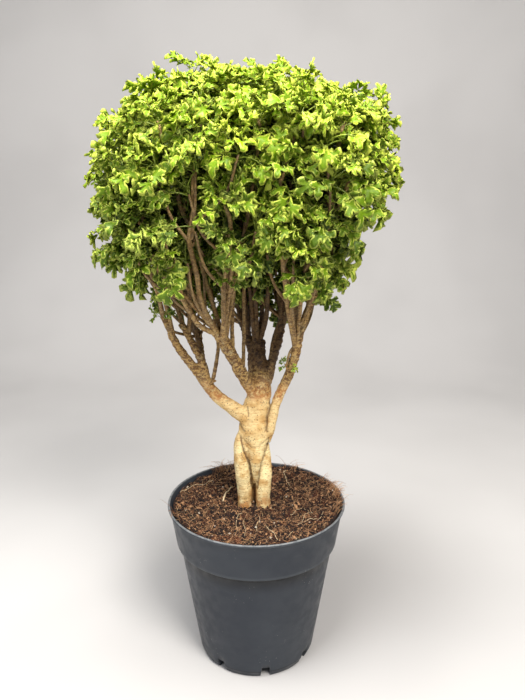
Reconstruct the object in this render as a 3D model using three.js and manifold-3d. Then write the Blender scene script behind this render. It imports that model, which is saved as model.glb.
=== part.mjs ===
// A ming aralia grown as a small bonsai: a pale trunk on three legs, a vase of upright stems and a dense
// clipped crown of cut, pale-edged leaves, standing in peat and fibre in a grey nursery pot.
// Millimetres, +Z up, front towards -Y. The origin is the middle of the pot's underside.
import * as THREE from "three";
import { mergeVertices } from "three/addons/utils/BufferGeometryUtils.js";
import Module from "manifold-3d";

const wasm = await Module();
wasm.setup();

// Driving dimensions.
const POT = {
  height: 175,
  rimRadius: 95,
  lip: 4,
  collarTop: 92.5,
  collarFoot: 86.5,
  collarHeight: 43,
  wallTop: 82.5,
  footRadius: 61,
  heel: 64,
  wall: 1.8,
  padRadius: 38,
  channel: 4,
  segments: 32,
};
const DRAIN = { count: 8, width: 9, height: 10, length: 26, turn: 9 };
const GAP = 0.4;
const SOIL = { edge: 171.5, crown: 174.5, relief: 1.1, rings: 5 };
const BURIED = 26;
const CROWN = { x: -8, y: 0, z: 500, halfWidth: 150, halfDepth: 132, halfHeight: 112, power: 2.7 };
const TOP_HEAD = 588;
const FRONT_LIFT = 26;
const STEM = { low: 2.6, high: 1.9, sides: 4, steps: 4, neck: 26, spacing: 8 };
const CORE = { radius: 15, sides: 6, top: 16, bottom: -14 };
const SOCKET = { radius: 3.6, depth: 9, sides: 4 };
const BLADE = 0.9;
const INNER_REACH = 0.6;
const UPPER_WHORL = { leaves: 4, reach: 42, height: 7, rise: 0.7, sag: 0.3 };
const LOWER_WHORL = { leaves: 6, reach: 54, height: -6, rise: 0.15, sag: 0.36 };

// Materials.
const finish = (color, roughness) => new THREE.MeshStandardMaterial({ color, roughness, metalness: 0 });
const PLASTIC = finish(0x4a4e52, 0.45);
const PEAT = finish(0x4b2a18, 0.95);
const BARK = finish(0xc9a56a, 0.85);
const LEAFAGE = finish(0x6fae23, 0.5);

// A repeatable random draw from 0 to 1.
let drawState = 20471;
function draw() {
  drawState = (drawState * 48271) % 2147483647;
  return drawState / 2147483647;
}
const spread = (amount) => (draw() * 2 - 1) * amount;
const V = (x, y, z) => new THREE.Vector3(x, y, z);
const mix = THREE.MathUtils.lerp;
const smooth = THREE.MathUtils.smoothstep;

// Geometry to solid and back.
function solidOf(geometry) {
  const bare = geometry.clone();
  bare.deleteAttribute("normal");
  bare.deleteAttribute("uv");
  const merged = mergeVertices(bare, 1e-4);
  return new wasm.Manifold(
    new wasm.Mesh({
      numProp: 3,
      vertProperties: merged.attributes.position.array,
      triVerts: new Uint32Array(merged.index.array),
    }),
  );
}

// The largest body of a solid, with any loose scrap dropped and any sealed hollow filled.
function wholeBody(solid) {
  const bodies = solid.decompose().filter((body) => body.volume() > 0);
  return bodies.reduce((best, body) => (body.volume() > best.volume() ? body : best));
}

function geometryOf(solid) {
  const mesh = solid.getMesh();
  return new THREE.BufferGeometry()
    .setAttribute("position", new THREE.BufferAttribute(new Float32Array(mesh.vertProperties), 3))
    .setIndex(new THREE.BufferAttribute(new Uint32Array(mesh.triVerts), 1));
}

function named(name, solid, material) {
  const geometry = geometryOf(solid);
  geometry.computeVertexNormals();
  const mesh = new THREE.Mesh(geometry, material);
  mesh.name = name;
  return mesh;
}

const fuse = (solids) => solids.reduce((whole, solid) => whole.add(solid));

// A closed round limb along a smooth path: each path entry is [x, y, z, radius].
function limb(path, sides = 8, steps = 8) {
  const curve = new THREE.CatmullRomCurve3(path.map(([x, y, z]) => V(x, y, z)));
  const frames = curve.computeFrenetFrames(steps);
  const position = [];
  const index = [];
  for (let i = 0; i <= steps; i++) {
    const along = (i / steps) * (path.length - 1);
    const k = Math.min(Math.floor(along), path.length - 2);
    const radius = mix(path[k][3], path[k + 1][3], along - k);
    const centre = curve.getPoint(i / steps);
    for (let j = 0; j < sides; j++) {
      const turn = (2 * Math.PI * j) / sides;
      const p = centre
        .clone()
        .addScaledVector(frames.normals[i], radius * Math.cos(turn))
        .addScaledVector(frames.binormals[i], radius * Math.sin(turn));
      position.push(p.x, p.y, p.z);
    }
  }
  for (let i = 0; i < steps; i++) {
    for (let j = 0; j < sides; j++) {
      const a = i * sides + j;
      const b = i * sides + ((j + 1) % sides);
      index.push(a, b, b + sides, a, b + sides, a + sides);
    }
  }
  const last = steps * sides;
  for (let j = 1; j < sides - 1; j++) {
    index.push(0, j + 1, j, last, last + j, last + j + 1);
  }
  return new THREE.BufferGeometry()
    .setAttribute("position", new THREE.BufferAttribute(new Float32Array(position), 3))
    .setIndex(index);
}

// Pot: a thin lathe-turned wall with a stepped collar, a raised drain channel and notches in its foot.
function potProfile() {
  const { height, rimRadius, lip, collarTop, collarFoot, collarHeight, wallTop } = POT;
  const { footRadius, heel, wall, padRadius, channel } = POT;
  const step = height - collarHeight;
  const outside = [
    [0, 0],
    [padRadius, 0],
    [padRadius + 2, channel],
    [footRadius - 7, channel],
    [footRadius - 5, 0],
    [footRadius, 0],
    [heel, 7],
    [wallTop, step - 3],
    [collarFoot, step],
    [collarTop, height - lip],
    [rimRadius, height - lip + 1],
    [rimRadius, height],
  ];
  const inside = [
    [rimRadius - 2.5, height],
    [collarTop - wall, height - lip],
    [collarFoot - wall, step + 1],
    [wallTop - wall, step - 2],
    [heel - wall, channel + wall],
    [padRadius + 2 - wall, channel + wall],
    [padRadius - wall, wall],
    [0, wall],
  ];
  return { outside, inside };
}

const lathe = (points) =>
  new THREE.LatheGeometry(
    points.map(([r, z]) => new THREE.Vector2(r, z)),
    POT.segments,
  ).rotateX(Math.PI / 2);

function makePot() {
  const { outside, inside } = potProfile();
  let pot = solidOf(lathe([...outside, ...inside]));
  for (let i = 0; i < DRAIN.count; i++) {
    const notch = new THREE.BoxGeometry(DRAIN.length, DRAIN.width, DRAIN.height)
      .translate(POT.footRadius - 1, 0, 0)
      .rotateZ((2 * Math.PI * i) / DRAIN.count + THREE.MathUtils.degToRad(DRAIN.turn));
    pot = pot.subtract(solidOf(notch));
  }
  return wholeBody(pot);
}

// Soil: fills the pot, with a low mound and a lumpy top, and plain holes where the legs stand.
function soilHeight(x, y) {
  const r = Math.hypot(x, y) / POT.collarFoot;
  const lumps = Math.sin(x * 0.19 + 1.3) * Math.cos(y * 0.23 - 0.4) + 0.6 * Math.sin(x * 0.41 - y * 0.37);
  const heap = 3.5 * smooth(x + 0.6 * y, 40, 95);
  return mix(SOIL.crown, SOIL.edge, r * r) + SOIL.relief * lumps + heap;
}

function makeSoil(legs) {
  const { collarHeight, height, padRadius, wall, channel } = POT;
  const step = height - collarHeight;
  const lift = (height - POT.lip - SOIL.edge) / collarHeight;
  const edge = mix(POT.collarTop, POT.collarFoot, lift) - wall - GAP - 1.2;
  const under = [
    [0, wall + GAP],
    [padRadius - wall - GAP, wall + GAP],
    [padRadius + 2 - wall - GAP, channel + wall + GAP],
    [POT.heel - wall - GAP - 0.6, channel + wall + GAP],
    [POT.wallTop - wall - GAP, step - 2],
    [POT.collarFoot - wall - GAP, step + 1 + GAP],
    [edge, SOIL.edge - 2],
  ];
  const top = [];
  for (let i = 0; i < SOIL.rings; i++) {
    top.push([edge * (1 - i / SOIL.rings) * (i ? 1 : 0.995), SOIL.edge]);
  }
  const geometry = lathe([...under, ...top, [0, SOIL.edge]]);
  const position = geometry.attributes.position;
  for (let i = 0; i < position.count; i++) {
    if (position.getZ(i) > SOIL.edge - 1) {
      position.setZ(i, soilHeight(position.getX(i), position.getY(i)));
    }
  }
  return wholeBody(legs.reduce((soil, leg) => soil.subtract(leg), solidOf(geometry)));
}

// Trunk: three root legs, a flattened torso, two arms and the inner limbs. Each entry is [x, y, z, radius].
const TORSO_DEPTH = 0.85;
const SOIL_LINE = SOIL.crown - 2;
const LEGS = [
  [
    [-12.3, -12, SOIL_LINE, 7.2],
    [-12.3, -12, 190, 7.7],
    [-14.3, -12, 212, 7.9],
    [-16, -11, 230, 7.5],
    [-16.2, -9, 245, 6.2],
    [-10, -5, 258, 6],
  ],
  [
    [7.3, -11, SOIL_LINE, 7.7],
    [7.3, -11, 190, 8],
    [9, -10, 207, 7.4],
    [9.6, -7, 220, 6.5],
    [8, -4, 236, 6],
    [5, -3, 250, 6],
  ],
  [
    [-2.2, -1, SOIL_LINE, 3.6],
    [-2.2, -1, 188, 3.6],
    [-1.6, -8, 205, 5],
    [0, -11, 220, 7.4],
    [0, -10, 234, 9],
    [-0.5, -6, 248, 11],
  ],
];
const TORSO = [
  [-0.9, -4, 236, 10],
  [-1.5, -4, 247, 15],
  [-2.5, -4, 257, 15.6],
  [-2.5, -3, 269, 14.6],
  [1, -1, 281, 13.8],
  [2.5, 1, 291, 13.1],
  [2.5, 3, 303, 12.6],
  [1, 9, 312, 10],
];
const LIMBS = {
  leftArm: [
    [2, -4, 264, 9],
    [-12, -5, 272, 8.8],
    [-20, -5, 277.5, 7.8],
    [-28, -5, 283.5, 6.9],
    [-39, -6, 292.5, 6.4],
    [-48, -6, 303.5, 6.2],
    [-56, -6, 316, 6],
  ],
  leftFork: [
    [-52, -6, 309, 5],
    [-66, -10, 330, 4.4],
    [-77, -14, 347, 4],
    [-84, -18, 363, 3.6],
  ],
  leftInner: [
    [-50, -6, 307, 4.6],
    [-55, -6, 330, 4.2],
    [-64, -7, 350, 3.8],
    [-74, -8, 370, 3.4],
  ],
  leftRear: [
    [-48, -4, 298, 4.6],
    [-56, 10, 328, 3.8],
    [-61, 24, 356, 3.2],
  ],
  front: [
    [2, -2, 292, 7.5],
    [-4, -5, 300, 7],
    [-13, -14, 318, 6.4],
    [-21, -24, 337, 6.2],
    [-29, -32, 354, 6.2],
    [-35, -39, 369, 6.6],
  ],
  centre: [
    [2, 4, 300, 10],
    [1, 13, 314, 9.5],
    [1, 20, 327, 9.5],
    [3, 27, 345, 6.5],
  ],
  rearLeft: [
    [0, 18, 322, 6],
    [-8, 30, 344, 5],
    [-17, 42, 366, 4],
  ],
  rear: [
    [11, 8, 304, 5.5],
    [18, 16, 329, 4.6],
    [24, 21, 349, 4.4],
    [29, 25, 376, 4],
  ],
  rightArm: [
    [11, -8, 244, 3.6],
    [14, -9, 256, 4.8],
    [16.6, -9, 269, 5.2],
    [19.2, -8, 282, 5.2],
    [23.2, -7, 294, 5],
    [33, -9, 317, 5],
    [39.5, -12, 340, 4.8],
    [43, -14, 361, 4.6],
  ],
  rightFork: [
    [42, -13, 354, 4],
    [50, -16, 383, 3.6],
    [58, -18, 400, 3.2],
  ],
};
// The limbs whose ends bear the stems: all but the left arm, which ends in its forks.
const STEM_ROOTS = Object.keys(LIMBS).filter((name) => name !== "leftArm");
// The one long bare stem in front of the crown, and the middle of the head that it carries.
const LEADER = [
  [-35, -39, 366, 4],
  [-46, -55, 393, 2.9],
  [-53, -74, 440, 2.5],
  [-52, -88, 492, 2.2],
];
const LEADER_HEAD = { x: -44, y: -96, z: 542 };

// Legs carried straight down into the soil, wider by a clearance where they cut its holes.
function buriedLegs(clearance) {
  return LEGS.map(([[x, y, z, radius]]) => {
    const depth = BURIED + clearance;
    const top = clearance ? 12 : 0.5;
    const sides = clearance ? 16 : 9;
    return solidOf(
      new THREE.CylinderGeometry(radius + clearance, radius + clearance, depth + top, sides)
        .rotateX(Math.PI / 2)
        .translate(x, y, z + (top - depth) / 2),
    );
  });
}

// Crown: leafy heads in rings over a clipped, flat-topped dome, each ring an inset inside it.
const RINGS = [
  { z: 430, count: 7, turn: 0.15, inset: 35 },
  { z: 474, count: 9, turn: 0.42, inset: 35 },
  { z: 520, count: 9, turn: 0.1, inset: 35 },
  { z: 560, count: 7, turn: 0.3, inset: 37 },
  { z: 587, count: 5, turn: 0.55, inset: 56 },
];

// Radius of the dome at a height and azimuth: a rounded box in plan and section, tucked in low on the right.
function crownRadius(z, azimuth) {
  const { halfWidth, halfDepth, halfHeight, power } = CROWN;
  const across = Math.abs(Math.cos(azimuth) / halfWidth) ** power;
  const deep = Math.abs(Math.sin(azimuth) / halfDepth) ** power;
  const plan = (across + deep) ** (-1 / power);
  const rise = Math.min(Math.abs(z - CROWN.z) / halfHeight, 0.98);
  const section = (1 - rise ** power) ** (1 / power);
  const tuck = 1 - 0.24 * Math.max(0, Math.cos(azimuth)) * (1 - smooth(z, 430, 515));
  return plan * section * tuck;
}

function crownHeads() {
  const heads = [];
  for (const ring of RINGS) {
    for (let i = 0; i < ring.count; i++) {
      const azimuth = (2 * Math.PI * (i + ring.turn + spread(0.12))) / ring.count;
      const front = Math.max(0, -Math.sin(azimuth));
      const z = ring.z + spread(7) + FRONT_LIFT * front * (1 - smooth(ring.z, RINGS[0].z, 520));
      const radius = Math.max(crownRadius(z, azimuth) - ring.inset, 22);
      const out = V(Math.cos(azimuth), Math.sin(azimuth), 0);
      const centre = V(CROWN.x, CROWN.y, z).addScaledVector(out, radius);
      const lean = mix(0.85, 0.25, smooth(z, 440, 590));
      const axis = V(0, 0, 1).addScaledVector(out, lean).normalize();
      const openness = mix(1, 0.6, smooth(z, 540, 600));
      heads.push({ centre, axis, out, openness });
    }
  }
  heads.push({ centre: V(CROWN.x, CROWN.y, TOP_HEAD), axis: V(0, 0, 1), out: V(1, 0, 0), openness: 0.6 });
  const { x, y, z } = LEADER_HEAD;
  const distance = (head) => head.centre.distanceTo(V(x, y, z));
  const leader = heads.reduce((best, head) => (distance(head) < distance(best) ? head : best));
  leader.centre.set(x, y, z);
  leader.route = LEADER;
  return heads;
}

// The woody stem under a head: from its own place near the end of the nearest limb, up through the middle
// of the crown, and into the head along the head's axis.
function stemPath(head, taken) {
  const aim = V(head.centre.x, head.centre.y, 0).multiplyScalar(0.6);
  const gap = (name) => Math.hypot(LIMBS[name].at(-1)[0] - aim.x, LIMBS[name].at(-1)[1] - aim.y);
  const root = STEM_ROOTS.reduce((best, name) => (gap(name) < gap(best) ? name : best));
  taken[root] = (taken[root] ?? 0) + 1;
  const end = V(...LIMBS[root].at(-1));
  const before = V(...LIMBS[root].at(-2));
  const back = Math.min((STEM.spacing * taken[root]) / end.distanceTo(before), 0.95);
  const start = end.clone().lerp(before, back);
  const foot = head.centre.clone().addScaledVector(head.axis, CORE.bottom + SOCKET.depth - 2 * GAP);
  if (head.route) {
    return [...head.route, [foot.x, foot.y, foot.z, STEM.high]];
  }
  const neck = foot.clone().addScaledVector(head.axis, -STEM.neck);
  const bend = V(mix(start.x, neck.x, 0.44), mix(start.y, neck.y, 0.44), mix(start.z, neck.z, 0.46));
  const taper = [STEM.low, mix(STEM.low, STEM.high, 0.4), mix(STEM.low, STEM.high, 0.8), STEM.high];
  return [start, bend, neck, foot].map((p, i) => [p.x, p.y, p.z, taper[i]]);
}

function makeTrunk(heads) {
  const legs = LEGS.map((path) => solidOf(limb(path, 9, 6)));
  const limbs = Object.values(LIMBS).map((path) => solidOf(limb(path, 6, path.length)));
  const torso = solidOf(limb(TORSO, 11, 8).scale(1, TORSO_DEPTH, 1));
  return wholeBody(fuse([torso, ...legs, ...limbs, ...makeStems(heads, 0), ...buriedLegs(0)]));
}

// The stems as solids, wider and longer by a clearance where they cut their sockets in the heads.
function makeStems(heads, clearance) {
  return heads.map(({ stem, axis }) => {
    const path = stem.map(([x, y, z, radius]) => [x, y, z, radius + clearance]);
    const [x, y, z, radius] = path.at(-1);
    path[path.length - 1] = [x + axis.x * clearance, y + axis.y * clearance, z + axis.z * clearance, radius];
    return solidOf(limb(path, STEM.sides, STEM.steps));
  });
}

// The mid-planes between a head and its neighbours, which bound its own share of the crown.
function shareOf(head, heads) {
  const near = heads.filter(
    (other) => other !== head && other.centre.distanceTo(head.centre) < 3 * LOWER_WHORL.reach,
  );
  return near.map((other) => {
    const normal = other.centre.clone().sub(head.centre);
    const limit = (normal.length() - GAP - BLADE) / 2;
    return { normal: normal.normalize(), limit };
  });
}

// A point of a head by its angle, radius and height, drawn in until it lies inside the head's share.
function onHead(head, angle, radius, height) {
  const flat = head.side.clone().multiplyScalar(Math.cos(angle)).addScaledVector(head.ahead, Math.sin(angle));
  const p = flat.multiplyScalar(radius).addScaledVector(head.axis, height);
  const over = head.share.map(({ normal, limit }) => p.dot(normal) / limit);
  return p.divideScalar(Math.max(1, ...over)).add(head.centre);
}

// Leaf: cut into a tip and two side lobes, from one valley of its whorl to the next, each entry
// [share of the leaf's sector, share of its reach].
const LEAF_EDGE = [
  [-0.5, 0.24],
  [-0.34, 0.72],
  [-0.16, 0.53],
  [0, 1],
  [0.16, 0.53],
  [0.34, 0.72],
];

// Whorl: a ring of arched leaves round the head's axis, shorter towards the trunk, as the upper and the
// lower edge of its blade.
function whorlEdges(head, whorl) {
  const sector = (2 * Math.PI) / whorl.leaves;
  const upper = [];
  const lower = [];
  for (let i = 0; i < whorl.leaves; i++) {
    const middle = sector * (i + spread(0.06)) + head.turn;
    const outward = (1 - Math.sin(middle)) / 2;
    const reach = whorl.reach * mix(INNER_REACH, 1, outward) * (1 + spread(0.1));
    const rise = whorl.rise * head.openness + spread(0.1);
    for (const [turn, out] of LEAF_EDGE) {
      const angle = middle + sector * turn;
      const height = whorl.height + reach * out * (rise - whorl.sag * out);
      const p = onHead(head, angle, reach * out, height);
      upper.push({ angle, p: p.clone().addScaledVector(head.axis, BLADE / 2) });
      lower.push({ angle, p: p.addScaledVector(head.axis, -BLADE / 2) });
    }
  }
  return [upper, lower];
}

// A closed skin over rings of points given from the top down, joined by their angles; a ring of one point
// closes an end.
function skin(rings) {
  const position = rings.flat().flatMap(({ p }) => [p.x, p.y, p.z]);
  const index = [];
  let first = 0;
  for (let k = 0; k < rings.length - 1; k++) {
    const [above, below] = [rings[k], rings[k + 1]];
    const angleOf = (ring, i) => ring[i % ring.length].angle + (i >= ring.length ? 2 * Math.PI : 0);
    const a = (i) => first + (i % above.length);
    const b = (j) => first + above.length + (j % below.length);
    const aEnd = above.length > 1 ? above.length : 0;
    const bEnd = below.length > 1 ? below.length : 0;
    for (let i = 0, j = 0; i < aEnd || j < bEnd; ) {
      const upperNext = i < aEnd && (j >= bEnd || angleOf(above, i + 1) < angleOf(below, j + 1));
      if (upperNext) {
        index.push(a(i), b(j), a(i + 1));
        i += 1;
      } else {
        index.push(a(i), b(j), b(j + 1));
        j += 1;
      }
    }
    first += above.length;
  }
  return new THREE.BufferGeometry()
    .setAttribute("position", new THREE.BufferAttribute(new Float32Array(position), 3))
    .setIndex(index);
}

function ringOn(head, sides, radius, height) {
  return Array.from({ length: sides }, (_, i) => {
    const angle = head.turn + (2 * Math.PI * (i - 0.5)) / sides;
    return { angle, p: onHead(head, angle, radius, height) };
  });
}

// Head: an upper and a lower whorl standing out of a small twiggy core, with a socket for its stem below.
function makeHead(head, passing) {
  const geometry = skin([
    ringOn(head, 1, 0, CORE.top),
    ...whorlEdges(head, UPPER_WHORL),
    ringOn(head, CORE.sides, CORE.radius, 0),
    ...whorlEdges(head, LOWER_WHORL),
    ringOn(head, SOCKET.sides, SOCKET.radius, CORE.bottom),
    ringOn(head, SOCKET.sides, SOCKET.radius, CORE.bottom + SOCKET.depth),
    ringOn(head, 1, 0, CORE.bottom + SOCKET.depth),
  ]);
  return wholeBody(solidOf(geometry).subtract(passing));
}

const heads = crownHeads();
const taken = {};
for (const head of heads) {
  head.stem = stemPath(head, taken);
  head.turn = draw() * 2 * Math.PI;
  head.side = V(-head.out.y, head.out.x, 0);
  head.ahead = head.axis.clone().cross(head.side).normalize();
  head.share = shareOf(head, heads);
}
const trunk = makeTrunk(heads);
const passing = fuse(makeStems(heads, 1.4 * GAP));

const part = new THREE.Group();
part.add(named("pot", makePot(), PLASTIC));
part.add(named("soil", makeSoil(buriedLegs(2 * GAP)), PEAT));
part.add(named("trunk", trunk, BARK));
heads.forEach((head, i) => {
  const name = `leafy_shoot_${String(i + 1).padStart(2, "0")}`;
  part.add(named(name, makeHead(head, passing), LEAFAGE));
});

export default part;
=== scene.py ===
"""A ming aralia grown as a small clipped tree, in peat and fibre in a slate-grey nursery pot.

Shapes are worked out in millimetres as numpy arrays, +Z up with the front towards -Y, and go into
Blender in metres. The crown's heads and stems follow the same seeded rule as the solids they stand for.
"""

import logging
import math
from dataclasses import dataclass, field
from enum import Enum
from itertools import product

import bpy
import numpy as np
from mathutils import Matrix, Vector


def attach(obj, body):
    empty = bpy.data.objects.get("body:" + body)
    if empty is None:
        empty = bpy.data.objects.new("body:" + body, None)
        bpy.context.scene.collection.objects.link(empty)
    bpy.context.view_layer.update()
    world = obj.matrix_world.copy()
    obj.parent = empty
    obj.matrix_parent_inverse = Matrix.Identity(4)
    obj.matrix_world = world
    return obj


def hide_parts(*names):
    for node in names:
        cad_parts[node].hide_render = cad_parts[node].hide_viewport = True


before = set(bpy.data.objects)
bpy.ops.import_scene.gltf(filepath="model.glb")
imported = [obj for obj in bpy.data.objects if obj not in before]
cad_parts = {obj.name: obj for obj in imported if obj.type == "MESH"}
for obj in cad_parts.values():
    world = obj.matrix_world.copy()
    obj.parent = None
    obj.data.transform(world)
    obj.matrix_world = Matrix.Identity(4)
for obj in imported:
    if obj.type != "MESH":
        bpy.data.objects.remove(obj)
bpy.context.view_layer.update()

log = logging.getLogger("ming_aralia")
MM = 0.001
GOLDEN = math.pi * (3 - math.sqrt(5))
UP = np.array([0.0, 0.0, 1.0])
BACK = np.array([0.0, 1.0, 0.0])
HASH_AXES = np.array([73856093, 19349663, 83492791])
HASH_SEED = 40503
HASH_FACTORS = (2246822519, 3266489917)
HASH_SHIFTS = (15, 13)
WORD = 0xFFFFFFFF


class Slot(Enum):
    """Names of material slots."""

    POT = "pot"
    SOIL = "soil"
    BARK = "bark"
    LEAF = "leaf"


class Draw:
    """The repeatable draw that places the heads: each state is the last one times 48271, modulo 2^31 - 1."""

    MULTIPLIER = 48271
    MODULUS = 2147483647

    def __init__(self, state: int) -> None:
        """Starts the draw from a state."""
        self.state = state

    def share(self) -> float:
        """The next number from 0 to 1."""
        self.state = (self.state * self.MULTIPLIER) % self.MODULUS
        return self.state / self.MODULUS

    def spread(self, amount: float) -> float:
        """The next number from -amount to amount."""
        return (self.share() * 2 - 1) * amount


def mix(a: float | np.ndarray, b: float | np.ndarray, share: float | np.ndarray) -> float | np.ndarray:
    """The value a share of the way from a to b."""
    return a + (b - a) * share


def smooth(x: float | np.ndarray, low: float, high: float) -> float | np.ndarray:
    """The smooth step 3t^2 - 2t^3 of x between low and high."""
    t = np.clip((x - low) / (high - low), 0.0, 1.0)
    return t * t * (3 - 2 * t)


def unit(v: np.ndarray) -> np.ndarray:
    """Vectors along the last axis brought to length 1."""
    return v / np.maximum(np.linalg.norm(v, axis=-1, keepdims=True), 1e-9)


def noise(points: np.ndarray, per_mm: float | np.ndarray, seed: int) -> np.ndarray:
    """Smooth value noise from -1 to 1.

    Each corner of a unit lattice gets a hashed value, and a point mixes its cell's eight corners by the
    smooth step of its place in the cell.

    Args:
        points: Places in mm, (n, 3).
        per_mm: Lattice cells per millimetre, one number or one an axis.
        seed: Changes the pattern.

    Returns:
        One value a point.
    """
    place = points * per_mm
    cell = np.floor(place).astype(np.int64)
    inside = place - cell
    inside = inside * inside * (3 - 2 * inside)
    total = np.zeros(len(points))
    for corner in product((0, 1), repeat=3):
        key = (cell + np.array(corner)) @ HASH_AXES + seed * HASH_SEED
        key = (key * HASH_FACTORS[0]) & WORD
        key = ((key ^ (key >> HASH_SHIFTS[0])) * HASH_FACTORS[1]) & WORD
        value = (key ^ (key >> HASH_SHIFTS[1])) / 2147483648.0 - 1.0
        total += value * np.prod(np.where(np.array(corner), inside, 1 - inside), axis=1)
    return total


def spline(knots: np.ndarray, count: int) -> np.ndarray:
    """A smooth curve through its knots.

    Catmull-Rom: on each span the point is the cubic that passes its two knots with the slope of the chord
    between each one's neighbours; the end knots are mirrored outwards.

    Args:
        knots: (..., k, d) knots.
        count: How many points to give.

    Returns:
        (..., count, d) points.
    """
    first = 2 * knots[..., :1, :] - knots[..., 1:2, :]
    last = 2 * knots[..., -1:, :] - knots[..., -2:-1, :]
    padded = np.concatenate([first, knots, last], axis=-2)
    along = np.linspace(0, knots.shape[-2] - 1, count)
    span = np.minimum(along.astype(int), knots.shape[-2] - 2)
    f = (along - span)[:, None]
    a, b, c, d = (padded[..., span + i, :] for i in range(4))
    return 0.5 * (2 * b + (c - a) * f + (2 * a - 5 * b + 4 * c - d) * f**2 + (3 * b - a - 3 * c + d) * f**3)


def line_distance(points: np.ndarray, start: np.ndarray, end: np.ndarray) -> np.ndarray:
    """How far each point is from the nearest of some straight lines.

    The nearest place on a line is start + t (end - start), with t the point's share of the way along it,
    held between 0 and 1.

    Args:
        points: (n, 2) points.
        start: (k, 2) starts of the lines.
        end: (k, 2) ends of the lines.

    Returns:
        One distance a point.
    """
    span = end - start
    along = np.einsum("ijk,jk->ij", points[:, None] - start, span) / np.maximum((span**2).sum(1), 1e-9)
    nearest = start + np.clip(along, 0, 1)[..., None] * span
    return np.linalg.norm(points[:, None] - nearest, axis=-1).min(axis=1)


@dataclass
class Shell:
    """A surface as arrays: points in mm, faces of three or four corners, and named values per point."""

    points: np.ndarray
    faces: list[np.ndarray]
    values: dict[str, np.ndarray] = field(default_factory=dict)
    finish: int = 0

    @staticmethod
    def joined(
        shells: list["Shell"],
    ) -> tuple[np.ndarray, list[tuple[np.ndarray, int]], dict[str, np.ndarray]]:
        """Several shells as one set of arrays.

        Args:
            shells: The shells to join.

        Returns:
            All points, each face array with its material number, and the values, 0 where a shell has none.
        """
        names = sorted({name for shell in shells for name in shell.values})
        faces = []
        first = 0
        for shell in shells:
            faces += [(block + first, shell.finish) for block in shell.faces]
            first += len(shell.points)
        values = {
            name: np.concatenate([shell.values.get(name, np.zeros(len(shell.points))) for shell in shells])
            for name in names
        }
        return np.concatenate([shell.points for shell in shells]), faces, values


def carry(mesh: bpy.types.Mesh, values: dict[str, np.ndarray]) -> None:
    """Gives a mesh the named values that its material reads.

    Args:
        mesh: The mesh.
        values: One number a point, by name.
    """
    for key, value in values.items():
        layer = mesh.attributes.new(key, "FLOAT", "POINT")
        layer.data.foreach_set("value", value.astype(np.float32))


def mesh_object(name: str, shells: list[Shell], materials: list[bpy.types.Material]) -> bpy.types.Object:
    """A mesh object at the origin made from shells.

    Args:
        name: The object's name.
        shells: Surfaces in mm.
        materials: One material for each finish number.

    Returns:
        The linked object, smooth shaded.
    """
    points, blocks, values = Shell.joined(shells)
    mesh = bpy.data.meshes.new(name)
    mesh.vertices.add(len(points))
    mesh.vertices.foreach_set("co", (points * MM).astype(np.float32).ravel())
    corners = np.concatenate([block.ravel() for block, _ in blocks]).astype(np.int32)
    sizes = np.concatenate([np.full(len(block), block.shape[1]) for block, _ in blocks])
    starts = np.concatenate([[0], np.cumsum(sizes)[:-1]]).astype(np.int32)
    mesh.loops.add(len(corners))
    mesh.loops.foreach_set("vertex_index", corners)
    mesh.polygons.add(len(sizes))
    mesh.polygons.foreach_set("loop_start", starts)
    finishes = np.concatenate([np.full(len(block), number) for block, number in blocks]).astype(np.int32)
    mesh.polygons.foreach_set("material_index", finishes)
    mesh.polygons.foreach_set("use_smooth", np.ones(len(sizes), dtype=bool))
    carry(mesh, values)
    mesh.update(calc_edges=True)
    mesh.validate()
    for material in materials:
        mesh.materials.append(material)
    piece = bpy.data.objects.new(name, mesh)
    bpy.context.scene.collection.objects.link(piece)
    return piece


def dress(piece: bpy.types.Object, slot: Slot, *nodes: str) -> bpy.types.Object:
    """Puts a finished piece on the one body, over the nodes it stands for, which it hides, and reports it.

    Args:
        piece: The finished mesh object.
        slot: Not used.
        nodes: The CAD nodes that it stands for.

    Returns:
        The same piece.
    """
    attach(piece, "root")
    if nodes:
        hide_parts(*nodes)
    log.info("%s: %d faces", piece.name, len(piece.data.polygons))
    return piece


def ring_numbers(rings: int, sides: int) -> tuple[np.ndarray, np.ndarray]:
    """The number of every point on stacked rings, and of the point one place further round."""
    first = np.arange(rings)[:, None] * sides
    return first + np.arange(sides), first + (np.arange(sides) + 1) % sides


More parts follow.
